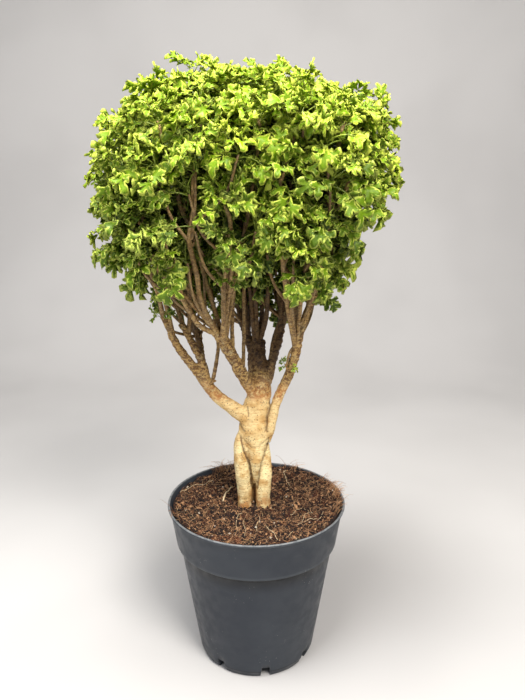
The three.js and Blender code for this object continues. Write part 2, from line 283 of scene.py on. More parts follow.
def tubes(
    paths: np.ndarray,
    radii: np.ndarray,
    sides: int,
    reference: np.ndarray,
    swell: np.ndarray | None = None,
    values: dict[str, np.ndarray] | None = None,
    finish: int = 0,
) -> Shell:
    """Closed round tubes along paths.

    Ring i of a tube is centre + radius * (cos t * side + sin t * up), where side is the path's direction
    crossed with the reference and up is side crossed with the direction. A point closes each end.

    Args:
        paths: (m, n, 3) centres.
        radii: (m, n) radii.
        sides: Points a ring.
        reference: A vector, or one a tube, that no path runs along.
        swell: (m, n, sides) shares that the radius is multiplied by.
        values: Values per path point, (m, n), carried to every point of the ring.
        finish: The material number.

    Returns:
        One shell with all the tubes.
    """
    m, n, _ = paths.shape
    forward = unit(np.gradient(paths, axis=1))
    reference = np.broadcast_to(np.asarray(reference, float).reshape(-1, 1, 3), paths.shape)
    side = unit(np.cross(forward, reference))
    up = np.cross(side, forward)
    turn = 2 * np.pi * np.arange(sides) / sides
    reach = radii[:, :, None] * (np.ones((m, n, sides)) if swell is None else swell)
    ring = np.cos(turn)[:, None] * side[:, :, None, :] + np.sin(turn)[:, None] * up[:, :, None, :]
    body = paths[:, :, None, :] + reach[..., None] * ring
    cap = 0.55
    start = paths[:, :1] - forward[:, :1] * radii[:, :1, None] * cap
    end = paths[:, -1:] + forward[:, -1:] * radii[:, -1:, None] * cap
    points = np.concatenate([body.reshape(m, n * sides, 3), start, end], axis=1).reshape(-1, 3)
    a, b = ring_numbers(n, sides)
    quads = np.stack([a[:-1], a[1:], b[1:], b[:-1]], axis=-1).reshape(-1, 4)
    low = np.stack([np.full(sides, n * sides), a[0], b[0]], axis=-1)
    high = np.stack([np.full(sides, n * sides + 1), b[-1], a[-1]], axis=-1)
    shift = (np.arange(m) * (n * sides + 2))[:, None, None]
    carried = {}
    for key, value in (values or {}).items():
        rings = np.repeat(value, sides, axis=1)
        carried[key] = np.concatenate([rings, value[:, :1], value[:, -1:]], axis=1).ravel()
    faces = [(quads[None] + shift).reshape(-1, 4), (np.concatenate([low, high])[None] + shift).reshape(-1, 3)]
    return Shell(points, faces, carried, finish)


def lathe(profile: np.ndarray, segments: int) -> Shell:
    """A surface turned round +Z: each profile point (radius, height) becomes a ring, or a pole at radius 0.

    Args:
        profile: (n, 2) points, from the axis under the piece, round its outside and back to the axis.
        segments: Points a ring.

    Returns:
        The closed shell.
    """
    turn = 2 * np.pi * np.arange(segments) / segments
    rings = profile[1:-1]
    body = np.stack(
        [
            rings[:, :1] * np.cos(turn),
            rings[:, :1] * np.sin(turn),
            np.repeat(rings[:, 1:], segments, axis=1),
        ],
        axis=-1,
    ).reshape(-1, 3)
    poles = np.array([[0, 0, profile[0, 1]], [0, 0, profile[-1, 1]]])
    a, b = ring_numbers(len(rings), segments)
    quads = np.stack([a[:-1], b[:-1], b[1:], a[1:]], axis=-1).reshape(-1, 4)
    low = np.stack([np.full(segments, len(body)), b[0], a[0]], axis=-1)
    high = np.stack([np.full(segments, len(body) + 1), a[-1], b[-1]], axis=-1)
    return Shell(np.concatenate([body, poles]), [quads, np.concatenate([low, high])])


class Nodes:
    """A short way to write a material's node tree."""

    def __init__(self, name: str) -> None:
        """Starts a material with one Principled shader on its output.

        Args:
            name: The material's name.
        """
        self.material = bpy.data.materials.new(name)
        self.material.use_nodes = True
        self.tree = self.material.node_tree
        self.shader = self.tree.nodes["Principled BSDF"]

    def add(self, kind: str, **settings: object) -> bpy.types.Node:
        """A new node of a kind, with its settings.

        Args:
            kind: The node's type name.
            settings: Attributes to set on it.

        Returns:
            The node.
        """
        node = self.tree.nodes.new(kind)
        for key, value in settings.items():
            setattr(node, key, value)
        return node

    def wire(self, source: object, node: bpy.types.Node, socket: str | int) -> None:
        """Joins a source socket, or sets a plain value, to a node's input.

        Args:
            source: A socket, or a plain value.
            node: The node that takes it.
            socket: The name or number of its input.
        """
        target = node.inputs[socket]
        if isinstance(source, bpy.types.NodeSocket):
            self.tree.links.new(source, target)
        else:
            target.default_value = source

    def place(self, stretch: tuple[float, float, float] | None = None) -> bpy.types.NodeSocket:
        """Object coordinates in metres.

        Args:
            stretch: A factor for each axis.

        Returns:
            The coordinates.
        """
        place = self.add("ShaderNodeTexCoord").outputs["Object"]
        if stretch is None:
            return place
        mapping = self.add("ShaderNodeMapping")
        mapping.inputs["Scale"].default_value = stretch
        self.wire(place, mapping, "Vector")
        return mapping.outputs["Vector"]

    def value(self, name: str) -> bpy.types.NodeSocket:
        """A value that the mesh carries."""
        return self.add("ShaderNodeAttribute", attribute_name=name).outputs["Fac"]

    def grain(
        self,
        scale: float,
        detail: float = 3.0,
        stretch: tuple[float, float, float] | None = None,
        distortion: float = 0.0,
    ) -> bpy.types.NodeSocket:
        """Fractal noise.

        Args:
            scale: Cells per metre.
            detail: Octaves.
            stretch: A factor for each axis.
            distortion: How far the pattern warps.

        Returns:
            The noise from 0 to 1.
        """
        node = self.add("ShaderNodeTexNoise")
        self.wire(self.place(stretch), node, "Vector")
        node.inputs["Scale"].default_value = scale
        node.inputs["Detail"].default_value = detail
        node.inputs["Distortion"].default_value = distortion
        return node.outputs["Fac"]

    def cells(self, scale: float, stretch: tuple[float, float, float] | None = None) -> bpy.types.NodeSocket:
        """Distance to the nearest of scattered points, with scale points per metre.

        Args:
            scale: Points per metre.
            stretch: A factor for each axis.

        Returns:
            The distance in cells.
        """
        node = self.add("ShaderNodeTexVoronoi")
        self.wire(self.place(stretch), node, "Vector")
        node.inputs["Scale"].default_value = scale
        return node.outputs["Distance"]

    def steps(
        self, source: object, low: float, high: float, start: float = 0.0, end: float = 1.0
    ) -> bpy.types.NodeSocket:
        """A source mapped from low..high to start..end by a smooth step, held beyond both.

        Args:
            source: A socket or a number.
            low: The source where the step starts.
            high: The source where it ends.
            start: The result at low.
            end: The result at high.

        Returns:
            The result.
        """
        node = self.add("ShaderNodeMapRange", interpolation_type="SMOOTHSTEP")
        self.wire(source, node, "Value")
        node.inputs["From Min"].default_value = low
        node.inputs["From Max"].default_value = high
        node.inputs["To Min"].default_value = start
        node.inputs["To Max"].default_value = end
        return node.outputs["Result"]

    def times(self, a: object, b: object) -> bpy.types.NodeSocket:
        """The product of two sockets or numbers."""
        return self.math("MULTIPLY", a, b)

    def band(self, height: object, up: tuple, down: tuple) -> bpy.types.NodeSocket:
        """The product of a step up and a step down over the height, which is 1 between the two."""
        return self.times(self.steps(height, *up), self.steps(height, *down))

    def math(self, kind: str, a: object, b: object = 0.0) -> bpy.types.NodeSocket:
        """Arithmetic on two sockets or numbers.

        Args:
            kind: The operation's name.
            a: A socket or a number.
            b: Another.

        Returns:
            The result.
        """
        node = self.add("ShaderNodeMath", operation=kind)
        self.wire(a, node, 0)
        self.wire(b, node, 1)
        return node.outputs[0]

    def blend(self, share: object, a: object, b: object) -> bpy.types.NodeSocket:
        """Colours a and b mixed by a share; each is a colour tuple or a socket.

        Args:
            share: 0 gives a and 1 gives b.
            a: The first colour.
            b: The second colour.

        Returns:
            The colour.
        """
        node = self.add("ShaderNodeMix", data_type="RGBA")
        self.wire(share, node, 0)
        self.wire(a, node, 6)
        self.wire(b, node, 7)
        return node.outputs[2]

    def height(self) -> bpy.types.NodeSocket:
        """Height above the base in metres.

        Returns:
            The height.
        """
        node = self.add("ShaderNodeSeparateXYZ")
        self.wire(self.place(), node, 0)
        return node.outputs["Z"]

    def raised(
        self, height: object, strength: float, depth: float, under: object = None
    ) -> bpy.types.NodeSocket:
        """A bumped normal from a height, over another if given, with its depth in metres.

        Args:
            height: A socket from 0 to 1.
            strength: The share of the depth that shows.
            depth: The depth in metres.
            under: A normal to start from.

        Returns:
            The normal.
        """
        node = self.add("ShaderNodeBump")
        node.inputs["Strength"].default_value = strength
        node.inputs["Distance"].default_value = depth
        self.wire(height, node, "Height")
        if under is not None:
            self.wire(under, node, "Normal")
        return node.outputs["Normal"]

    def done(self, color: object, roughness: object, normal: object = None) -> bpy.types.Material:
        """Joins the colour, roughness and normal to the shader and gives the material.

        Args:
            color: The base colour.
            roughness: A socket or a number.
            normal: The bumped normal.

        Returns:
            The material.
        """
        self.wire(color, self.shader, "Base Color")
        self.wire(roughness, self.shader, "Roughness")
        if normal is not None:
            self.wire(normal, self.shader, "Normal")
        return self.material


def rgb(code: str) -> tuple[float, float, float, float]:
    """A screen colour such as 8fc31f as a linear colour.

    A screen channel c becomes c / 12.92 up to 0.04045, and ((c + 0.055) / 1.055)^2.4 above it.

    Args:
        code: Six hex digits.

    Returns:
        Red, green, blue and 1.
    """
    parts = [int(code[i : i + 2], 16) / 255 for i in (0, 2, 4)]
    linear = [c / 12.92 if c <= 0.04045 else ((c + 0.055) / 1.055) ** 2.4 for c in parts]
    return (*linear, 1.0)


@dataclass(frozen=True)
class PotPlastic:
    """Slate-grey moulded plastic, satin, with specks of dust, a lip lighter by wear, and painted light and
    shade.

    Each pair of heights, in metres, is where a tint starts and where it is full. Under the collar go painted
    shade and a painted dark line, on the collar's lower edge a painted highlight, along the lip a painted
    highlight with the wear, and at the heel a painted dark line.
    """

    base: str = "2a2f37"
    pale: str = "33383f"
    dust: str = "b9b6b0"
    scuffed: str = "5d6062"
    shadow: str = "0c0e10"
    # painted shade colour for the dark line under the collar
    line: str = "07080a"
    # painted highlight colour for the collar's lower edge
    edge: str = "50565b"
    # lip colour, partly wear and partly a painted highlight
    wear_and_highlight: str = "8f9294"
    # painted shade colour for the dark line at the heel
    heel: str = "0e1012"
    roughness: float = 0.42
    specular: float = 0.3
    shadow_up: tuple = (0.11, 0.129)
    shade_line_up: tuple = (0.1265, 0.1285)
    collar_down: tuple = (0.1318, 0.1308)
    highlight_up: tuple = (0.1314, 0.1322)
    highlight_down: tuple = (0.1362, 0.1332)
    lip_up: tuple = (0.1735, 0.1747)
    heel_shade_up: tuple = (0.0062, 0.0068)
    heel_shade_down: tuple = (0.0082, 0.0075)

    def material(self) -> bpy.types.Material:
        """The node material.

        Returns:
            The material.
        """
        n = Nodes("pot_plastic")
        cloud = n.steps(n.grain(12.0, 3.0), 0.35, 0.7)
        color = n.blend(cloud, rgb(self.base), rgb(self.pale))
        speck = n.steps(n.cells(330.0), 0.13, 0.05)
        thin = n.steps(n.grain(38.0, 2.0), 0.57, 0.68)
        color = n.blend(n.times(speck, thin), color, rgb(self.dust))
        scuff = n.steps(n.grain(60.0, 5.0, (1.0, 1.0, 6.0), 0.6), 0.64, 0.74)
        color = n.blend(n.times(scuff, 0.07), color, rgb(self.scuffed))
        z = n.height()
        # painted shade on the wall under the collar's overhang
        shadow = n.band(z, self.shadow_up, self.collar_down)
        color = n.blend(n.times(shadow, 0.75), color, rgb(self.shadow))
        # painted shade: a dark line right under the collar
        line = n.band(z, self.shade_line_up, self.collar_down)
        color = n.blend(n.times(line, 0.8), color, rgb(self.line))
        # painted highlight along the collar's lower edge
        edge = n.band(z, self.highlight_up, self.highlight_down)
        color = n.blend(n.times(edge, 0.3), color, rgb(self.edge))
        # the lip lighter partly by wear and partly by a painted highlight along its front
        patches = n.steps(n.grain(260.0, 3.0), 0.3, 0.6, 0.45, 1.0)
        wear_and_highlight = n.times(n.steps(z, *self.lip_up), patches)
        color = n.blend(n.times(wear_and_highlight, 0.75), color, rgb(self.wear_and_highlight))
        # painted shade: a dark line at the heel step near the base
        heel = n.band(z, self.heel_shade_up, self.heel_shade_down)
        color = n.blend(n.times(heel, 0.7), color, rgb(self.heel))
        rough = n.steps(n.grain(90.0, 3.0), 0.3, 0.7, self.roughness - 0.06, self.roughness + 0.12)
        normal = n.raised(n.grain(900.0, 2.0), 0.12, 0.0002)
        n.shader.inputs["Specular IOR Level"].default_value = self.specular
        return n.done(color, rough, normal)


@dataclass(frozen=True)
class Bark:
    """Pale skin with pin-prick pores and level wrinkles, turning to warty brown, then dark bark and painted
    shade.

    Each pair of heights, in metres, is where a tint starts and where it is full.
    """

    pale: str = "f8e4ac"
    tan: str = "d0a96a"
    rust: str = "a8642a"
    stem: str = "b08e54"
    wart: str = "62401f"
    dark: str = "2e1d10"
    ash: str = "a4946c"
    torso: str = "cba264"
    wrinkled: str = "b98a50"
    mottled: str = "b47e42"
    foot: str = "b9752e"
    shaded_dark_bark: str = "5d4327"
    pore: str = "54331a"
    dash: str = "6d4522"
    # painted shade colour for creases and hollows, also on the leaf-scar rings
    crease: str = "4f2f14"
    torso_up: tuple = (0.228, 0.262)
    foot_down: tuple = (0.2, 0.174)
    neck_up: tuple = (0.286, 0.296)
    neck_down: tuple = (0.318, 0.303)
    relief: float = 0.4

    def material(self) -> bpy.types.Material:
        """The node material.

        The mesh's value age is 0 on pale skin and 1 on warty bark. Another value is 1 on the darkest wood,
        partly dark bark and partly painted shade at the back, and a third is painted shade in creases and
        hollows, with darker leaf-scar rings on the stems.

        Returns:
            The material.
        """
        n = Nodes("bark")
        age, soot, z = n.value("age"), n.value("soot"), n.height()
        wrinkle = n.grain(260.0, 4.0, (0.4, 0.4, 3.6), 0.7)
        patch = n.grain(95.0, 4.0)
        color = n.blend(n.steps(patch, 0.42, 0.68), rgb(self.pale), rgb(self.tan))
        color = n.blend(n.steps(z, *self.torso_up, 0.0, 0.44), color, rgb(self.torso))
        color = n.blend(n.steps(wrinkle, 0.5, 0.68, 0.0, 0.6), color, rgb(self.wrinkled))
        mottle = n.steps(n.grain(420.0, 3.0, (1.0, 1.0, 1.4)), 0.54, 0.66, 0.0, 0.45)
        color = n.blend(mottle, color, rgb(self.mottled))
        foot = n.times(n.steps(z, *self.foot_down), n.steps(n.grain(120.0, 3.0), 0.36, 0.6))
        color = n.blend(n.times(foot, 0.85), color, rgb(self.foot))
        neck = n.band(z, self.neck_up, self.neck_down)
        neck = n.times(neck, n.steps(n.grain(330.0, 3.0), 0.38, 0.56))
        color = n.blend(n.times(neck, 0.8), color, rgb(self.rust))
        warts = n.grain(340.0, 4.0, (0.85, 0.85, 1.3), 0.9)
        brown = n.blend(n.steps(n.grain(150.0, 3.0), 0.5, 0.72), rgb(self.stem), rgb(self.ash))
        brown = n.blend(n.steps(warts, 0.465, 0.56), brown, rgb(self.wart))
        specks = n.steps(n.grain(640.0, 3.0, (1.0, 1.0, 1.8)), 0.58, 0.64, 0.0, 0.8)
        brown = n.blend(specks, brown, rgb(self.dark))
        color = n.blend(n.times(age, 0.95), color, brown)
        # dark bark mixed with painted shade on the back of the upper middle and on the inner stems
        shaded_dark_bark = n.blend(n.steps(warts, 0.42, 0.62), rgb(self.shaded_dark_bark), rgb(self.dark))
        color = n.blend(n.times(soot, 0.9), color, shaded_dark_bark)
        pore = n.steps(n.cells(430.0, (1.0, 1.0, 0.75)), 0.27, 0.15)
        pore = n.times(pore, n.steps(n.grain(110.0, 2.0), 0.36, 0.52))
        color = n.blend(n.times(pore, 0.75), color, rgb(self.pore))
        dash = n.steps(n.grain(300.0, 2.0, (0.8, 0.8, 3.6), 0.3), 0.66, 0.7)
        color = n.blend(n.times(dash, 0.6), color, rgb(self.dash))
        # painted shade in creases and hollows, and darker leaf-scar rings
        color = n.blend(n.times(n.value("crease"), 0.85), color, rgb(self.crease))
        normal = n.raised(wrinkle, 0.55, 0.0009)
        normal = n.raised(warts, self.relief, 0.0008, normal)
        normal = n.raised(n.math("SUBTRACT", 1.0, pore), self.relief, 0.0004, normal)
        return n.done(color, n.steps(patch, 0.3, 0.7, 0.62, 0.82), normal)


@dataclass(frozen=True)
class LeafFlesh:
    """Green blade with a pale edge: the edge value is 1 on the outline and 0 on the veins."""

    deep: str = "344a04"
    fresh: str = "81a405"
    edge_low: str = "b3bf5a"
    edge_high: str = "dbe652"
    under: str = "667f22"
    patch: str = "9ab83a"
    specular: float = 0.3

    def material(self) -> bpy.types.Material:
        """The node material; tone runs from 0 on old leaves in painted shade to 1 on young leaves in painted
        light.

        Returns:
            The material.
        """
        n = Nodes("leaf")
        edge = n.value("edge")
        tone = n.value("tone")
        ragged = n.math("ADD", edge, n.steps(n.grain(420.0, 3.0), 0.3, 0.7, -0.1, 0.1))
        ragged = n.math("ADD", ragged, n.times(n.value("cream"), 0.42))
        # painted light and shade: tone brightens the green and the pale edge higher in the crown and darkens
        # them on shaded rosettes
        green = n.blend(tone, rgb(self.deep), rgb(self.fresh))
        green = n.blend(n.steps(n.grain(260.0, 3.0), 0.5, 0.7, 0.0, 0.35), green, rgb(self.patch))
        pale = n.blend(tone, rgb(self.edge_low), rgb(self.edge_high))
        color = n.blend(n.steps(ragged, 0.72, 0.84), green, pale)
        color = n.blend(n.times(n.value("under"), 0.6), color, rgb(self.under))
        normal = n.raised(edge, 0.35, 0.0006)
        normal = n.raised(n.grain(700.0, 2.0), 0.15, 0.0003, normal)
        n.shader.inputs["Specular IOR Level"].default_value = self.specular
        return n.done(color, n.steps(n.grain(300.0, 2.0), 0.3, 0.7, 0.42, 0.6), normal)


@dataclass(frozen=True)
class Petiole:
    """Smooth yellow-green leaf stalk."""

    green: str = "6a7c14"
    pale: str = "98a83a"
    shaded: str = "3f4c12"

    def material(self) -> bpy.types.Material:
        """The node material.

        Returns:
            The material.
        """
        n = Nodes("petiole")
        color = n.blend(n.steps(n.grain(240.0, 2.0), 0.4, 0.65), rgb(self.green), rgb(self.pale))
        shade = n.times(n.math("SUBTRACT", 1.0, n.value("tone")), 0.5)
        color = n.blend(shade, color, rgb(self.shaded))
        return n.done(color, 0.5, n.raised(n.grain(800.0, 2.0), 0.1, 0.0002))


@dataclass(frozen=True)
class Peat:
    """Dark brown peat with lighter and redder crumbs."""

    dark: str = "0f0705"
    brown: str = "341d13"
    red: str = "6b3820"
    crumb: str = "b88c64"

    def material(self) -> bpy.types.Material:
        """The node material; tone picks the crumb's own colour.

        Returns:
            The material.
        """
        n = Nodes("peat")
        fine = n.grain(430.0, 5.0, None, 0.7)
        color = n.blend(n.steps(fine, 0.46, 0.6), rgb(self.dark), rgb(self.brown))
        color = n.blend(n.steps(n.grain(70.0, 4.0), 0.52, 0.68, 0.0, 0.55), color, rgb(self.red))
        damp = n.steps(n.grain(17.0, 2.0), 0.48, 0.58, 0.0, 0.7)
        color = n.blend(damp, color, rgb(self.dark))
        color = n.blend(n.steps(n.value("tone"), 0.16, 0.85), color, rgb(self.crumb))
        normal = n.raised(fine, 0.9, 0.0016)
        return n.done(color, 0.92, normal)


@dataclass(frozen=True)
class Litter:
    """One even colour family for fibres, perlite or straw, from one shade to another by tone."""

    name: str
    low: str
    high: str
    roughness: float = 0.8

    def material(self) -> bpy.types.Material:
        """The node material.

        Returns:
            The material.
        """
        n = Nodes(self.name)
        color = n.blend(n.value("tone"), rgb(self.low), rgb(self.high))
        color = n.blend(n.steps(n.grain(600.0, 3.0), 0.45, 0.65, 0.0, 0.4), color, rgb(self.low))
        return n.done(color, self.roughness, n.raised(n.grain(900.0, 3.0), 0.4, 0.0004))


@dataclass
class Pot:
    """The nursery pot: a thin turned wall with a rolled lip, a stepped collar, a foot ring and notches."""

    height: float = 175.0
    rim: float = 95.0
    lip: float = 4.0
    collar_top: float = 92.5
    collar_foot: float = 86.5
    collar_height: float = 43.0
    wall_top: float = 82.5
    foot: float = 61.0
    heel: float = 64.0
    wall: float = 1.8
    pad: float = 38.0
    channel: float = 4.0
    notches: int = 8
    notch_width: float = 9.0
    notch_height: float = 13.0
    heel_height: float = 7.0
    notch_turn: float = 9.0
    segments: int = 256

    def profile(self) -> np.ndarray:
        """The wall's outline as (radius, height) from the axis below, round the outside, and back inside.

        Returns:
            (n, 2) points in mm.
        """
        step = self.height - self.collar_height
        roll = np.linspace(-0.5, 1.0, 7) * math.pi
        lip_middle = (self.rim - 1.3, self.height - 1.4)
        lip = [(lip_middle[0] + 1.3 * math.cos(a), lip_middle[1] + 1.4 * math.sin(a)) for a in roll[1:-1]]
        rows = [
            (0, 0), (self.pad - 1, 0), (self.pad, 0.2), (self.pad + 2, self.channel),
            (self.foot - 7, self.channel), (self.foot - 5.4, 0.4), (self.foot - 5, 0),
            (self.foot - 0.6, 0), (self.foot, 0.5), (self.heel - 0.9, self.heel_height - 1.2),
            (self.heel - 0.2, self.heel_height - 0.4), (self.heel, self.heel_height + 0.5),
        ]
        low = self.heel_height + 0.5
        rows += [
            (mix(self.heel, self.wall_top, t), mix(low, step - 3.4, t)) for t in np.linspace(0.03, 1, 14)
        ]
        rows += [
            (self.wall_top + 0.5, step - 2.6), (self.collar_foot - 0.8, step - 0.7),
            (self.collar_foot - 0.1, step - 0.1), (self.collar_foot + 0.15, step + 0.8),
        ]
        rows += [
            (mix(self.collar_foot, self.collar_top, t), mix(step, self.height - self.lip, t))
            for t in np.linspace(0.06, 0.97, 7)
        ]
        rows += [
            (self.collar_top + 0.4, self.height - self.lip + 0.4),
            (self.rim - 1.2, self.height - self.lip + 1.1),
            (self.rim - 0.3, self.height - self.lip + 1.7),
        ]
        rows += lip
        inner = self.wall
        rows += [
            (self.rim - 2.7, self.height - 2.2), (self.collar_top - inner, self.height - self.lip),
            (self.collar_foot - inner, step + 1), (self.wall_top - inner, step - 2),
            (self.heel - inner, self.channel + inner), (self.pad, self.channel + inner),
            (0, self.channel + inner),
        ]
        return np.array(rows, float)

    def build(self) -> bpy.types.Object:
        """Turns the wall and lifts its foot into the notches.

        A point below the notch height h is raised towards it: z becomes h - (h - z) * (1 - 0.97 n), where n
        is 1 inside a notch, 0 outside, and falls off over a degree at its sides.

        Returns:
            The pot.
        """
        shell = lathe(self.profile(), self.segments)
        x, y, z = shell.points.T
        radius = np.hypot(x, y)
        azimuth = np.degrees(np.arctan2(y, x)) - self.notch_turn
        pitch = 360 / self.notches
        off = np.abs((azimuth + pitch / 2) % pitch - pitch / 2)
        half = np.degrees(self.notch_width / 2 / self.foot)
        notch = 1 - smooth(off, half - 0.7, half + 0.7)
        notch = notch * (radius > self.pad + 8) * (z < self.notch_height)
        z[:] = self.notch_height - (self.notch_height - z) * (1 - 0.97 * notch)
        shell.points = np.stack([x, y, z], axis=1)
        piece = mesh_object("nursery_pot", [shell], [PotPlastic().material()])
        return dress(piece, Slot.POT, "pot")


@dataclass
class Soil:
    """Peat and fibre: a lumpy bed with crumbs, bark chips, coir, perlite grains and straws on it.

    A root is its radius and its line. A row of crumbs or grains holds what lumps takes, and a row of fibres
    or straws what strands takes. Tufts of hair stand at their turns round the rim, in degrees.
    """

    pot: Pot
    edge: float = 171.5
    crown: float = 174.5
    relief: float = 1.1
    reach: float = 89.6
    rings: int = 90
    segments: int = 240
    roots: tuple = (
        (1.0, ((-36, -2), (-34.5, 5), (-33.6, 12), (-30, 20), (-26.5, 26))),
        (0.32, ((34.7, 75), (31.8, 66), (32.3, 56), (35.6, 36), (38.7, 28))),
        (0.3, ((10.6, -56), (14, -64), (18.7, -73), (23.4, -82))),
        (0.2, ((46, -46), (49, -40), (54, -28), (59, -27))),
        (0.26, ((-85, 21), (-75, 31), (-58, 43), (-50, 45))),
        (0.24, ((42, -51), (51, -45), (63, -40), (70, -30))),
        (0.2, ((-10, -36), (-13, -50), (-10, -62), (-11, -72))),
        (0.2, ((-14, -30), (-20, -48), (-17, -66))),
        (0.18, ((2, -34), (4, -46), (0, -58), (3, -66))),
        (0.22, ((30, -30), (38, -34), (44, -22), (52, -20))),
    )
    crumbs: tuple = (
        (4800, 0.5, 1.7, 21, 0.9),
        (560, 0.9, 2.5, 22, 0.7, 1.3),
        (26, 2.6, 4.4, 23, 0.4, 1.5),
    )
    grains: tuple = (150, 0.5, 1.6, 41, 0.8)
    fibres: tuple = (
        (2100, (3.0, 13.0), 0.15, 31, 0.5, 0.36),
        (1400, (3.0, 10.0), 0.17, 33, 0.5),
        (90, (12.0, 26.0), 0.2, 32, 0.8, 0.4),
    )
    straws: tuple = (34, (6.0, 16.0), 0.2, 51, 0.7)
    tuft_turns: tuple = (8.0, -14.0, 26.0, 118.0, 60.0, 205.0)
    tuft_counts: tuple = (70, 26, 34, 60, 22, 10)
    tuft_spread: float = 0.09
    tuft_seed: int = 61

    def height(self, x: np.ndarray, y: np.ndarray) -> np.ndarray:
        """The bed's height: a low mound with waves, heaped against the rim at the right.

        The mound goes from crown to edge with the square of the distance from the middle.

        Args:
            x: Places across in mm.
            y: Places back in mm.

        Returns:
            Heights in mm.
        """
        r = np.hypot(x, y) / self.pot.collar_foot
        lumps = np.sin(x * 0.19 + 1.3) * np.cos(y * 0.23 - 0.4) + 0.6 * np.sin(x * 0.41 - y * 0.37)
        heap = 3.5 * smooth(x + 0.6 * y, 40, 95)
        return mix(self.crown, self.edge, r * r) + self.relief * lumps + heap

    def surface(self, x: np.ndarray, y: np.ndarray) -> np.ndarray:
        """The bed's height with its crumbly relief of three sizes.

        Args:
            x: Places across in mm.
            y: Places back in mm.

        Returns:
            Heights in mm.
        """
        p = np.stack([x, y, np.zeros_like(x)], axis=-1)
        rough = 1.3 * noise(p, 0.13, 3) + 1.1 * noise(p, 0.36, 4) + 1.0 * noise(p, 0.85, 5)
        return self.height(x, y) + rough - 0.8

    def bed(self) -> Shell:
        """The bed as a turned solid inside the pot's collar, whose top rings follow the surface.

        Returns:
            The bed.
        """
        step = self.pot.height - self.pot.collar_height
        inside = self.pot.collar_foot - self.pot.wall - 0.6
        outer = np.linspace(self.reach, 0.8, self.rings)
        rows = [(0, step + 2), (inside - 1, step + 2), (inside, step + 4), (self.reach - 0.8, self.edge - 6)]
        rows += [(r, self.edge) for r in outer] + [(0, self.edge)]
        shell = lathe(np.array(rows, float), self.segments)
        top = shell.points[:, 2] > self.edge - 1
        x, y, _ = shell.points.T
        shell.points[top, 2] = self.surface(x[top], y[top])
        shell.values["tone"] = 0.12 + 0.12 * noise(shell.points, 0.05, 9)
        return shell

    def scatter(
        self, count: int, rng: np.random.Generator, bound: float, crowding: float = 0.5
    ) -> np.ndarray:
        """Places over the disc inside a bound, resting on the surface.

        Args:
            count: How many.
            rng: The draw.
            bound: The greatest radius.
            crowding: 0.5 spreads them evenly, less gathers them at the edge.

        Returns:
            (count, 3) places.
        """
        radius = bound * rng.random(count) ** crowding
        turn = rng.random(count) * 2 * np.pi
        x, y = radius * np.cos(turn), radius * np.sin(turn)
        return np.stack([x, y, self.surface(x, y)], axis=1)

    def lumps(self, count: int, low: float, high: float, seed: int, flat: float, long: float = 1.0) -> Shell:
        """Angular crumbs: octahedra with each corner pushed in or out, turned at random.

        Args:
            count: How many.
            low: The least radius in mm.
            high: The greatest.
            seed: The draw.
            flat: The share of its width that a crumb is high.
            long: How many times its width a crumb is long.

        Returns:
            One shell with every crumb.
        """
        rng = np.random.default_rng(seed)
        corners = np.array([[1, 0, 0], [0, 1, 0], [-1, 0, 0], [0, -1, 0], [0, 0, 1], [0, 0, -1]], float)
        ring = np.array([[0, 1], [1, 2], [2, 3], [3, 0]])
        top = np.column_stack([ring, np.full(4, 4)])
        bottom = np.column_stack([ring[:, ::-1], np.full(4, 5)])
        size = low + (high - low) * rng.random(count) ** 3
        shape = corners * np.array([long, 1, flat]) * (0.6 + 0.8 * rng.random((count, 6, 1)))
        turn = rng.random(count) * 2 * np.pi
        tilt = np.clip(rng.normal(0, 0.5, count), -1, 1)
        c, s = np.cos(turn)[:, None], np.sin(turn)[:, None]
        x, y, z = np.moveaxis(shape, -1, 0)
        z = z + x * np.tan(tilt)[:, None] * 0.5
        spun = np.stack([c * x - s * y, s * x + c * y, z], axis=-1) * size[:, None, None]
        place = self.scatter(count, rng, self.reach - 2 - high * 0.4)
        place[:, 2] += size * 0.3 * flat
        points = (spun + place[:, None]).reshape(-1, 3)
        faces = (np.concatenate([top, bottom])[None] + (np.arange(count) * 6)[:, None, None]).reshape(-1, 3)
        tone = np.repeat(rng.random(count) ** 2.4, 6)
        return Shell(points, [faces], {"tone": tone})

    def strands(
        self,
        count: int,
        length: tuple[float, float],
        radius: float,
        seed: int,
        lift: float,
        crowding: float = 0.5,
    ) -> Shell:
        """Thin curved fibres lying on the bed, each bending sideways and arching up in its middle.

        Args:
            count: How many.
            length: The least and greatest length in mm.
            radius: Their middle radius.
            seed: The draw.
            lift: How high they arch, as a share.
            crowding: How they spread over the bed, as in scatter.

        Returns:
            One shell with every fibre.
        """
        rng = np.random.default_rng(seed)
        long = length[0] + (length[1] - length[0]) * rng.random(count) ** 2
        start = self.scatter(count, rng, self.reach - 3, crowding)
        heading = rng.random(count) * 2 * np.pi
        bend = rng.normal(0, 1.1, count)
        t = np.linspace(0, 1, 5)
        angle = heading[:, None] + bend[:, None] * t
        step = long[:, None] / 4 * np.stack([np.cos(angle), np.sin(angle)])
        x = start[:, :1] + np.cumsum(step[0], axis=1) - step[0]
        y = start[:, 1:2] + np.cumsum(step[1], axis=1) - step[1]
        hold = np.minimum(1.0, (self.reach - 1.5) / np.maximum(np.hypot(x, y), 1.0))
        x, y = x * hold, y * hold
        arch = lift * rng.random(count)[:, None] * np.sin(np.pi * t) * long[:, None] * 0.35
        z = self.surface(x.ravel(), y.ravel()).reshape(x.shape) + arch + 0.2 + radius
        thick = radius * (0.6 + 0.8 * rng.random(count))[:, None] * (1 - 0.5 * t)
        tone = np.repeat(rng.random(count)[:, None] ** 1.5, 5, axis=1)
        return tubes(np.stack([x, y, z], axis=-1), thick, 3, UP, values={"tone": tone})

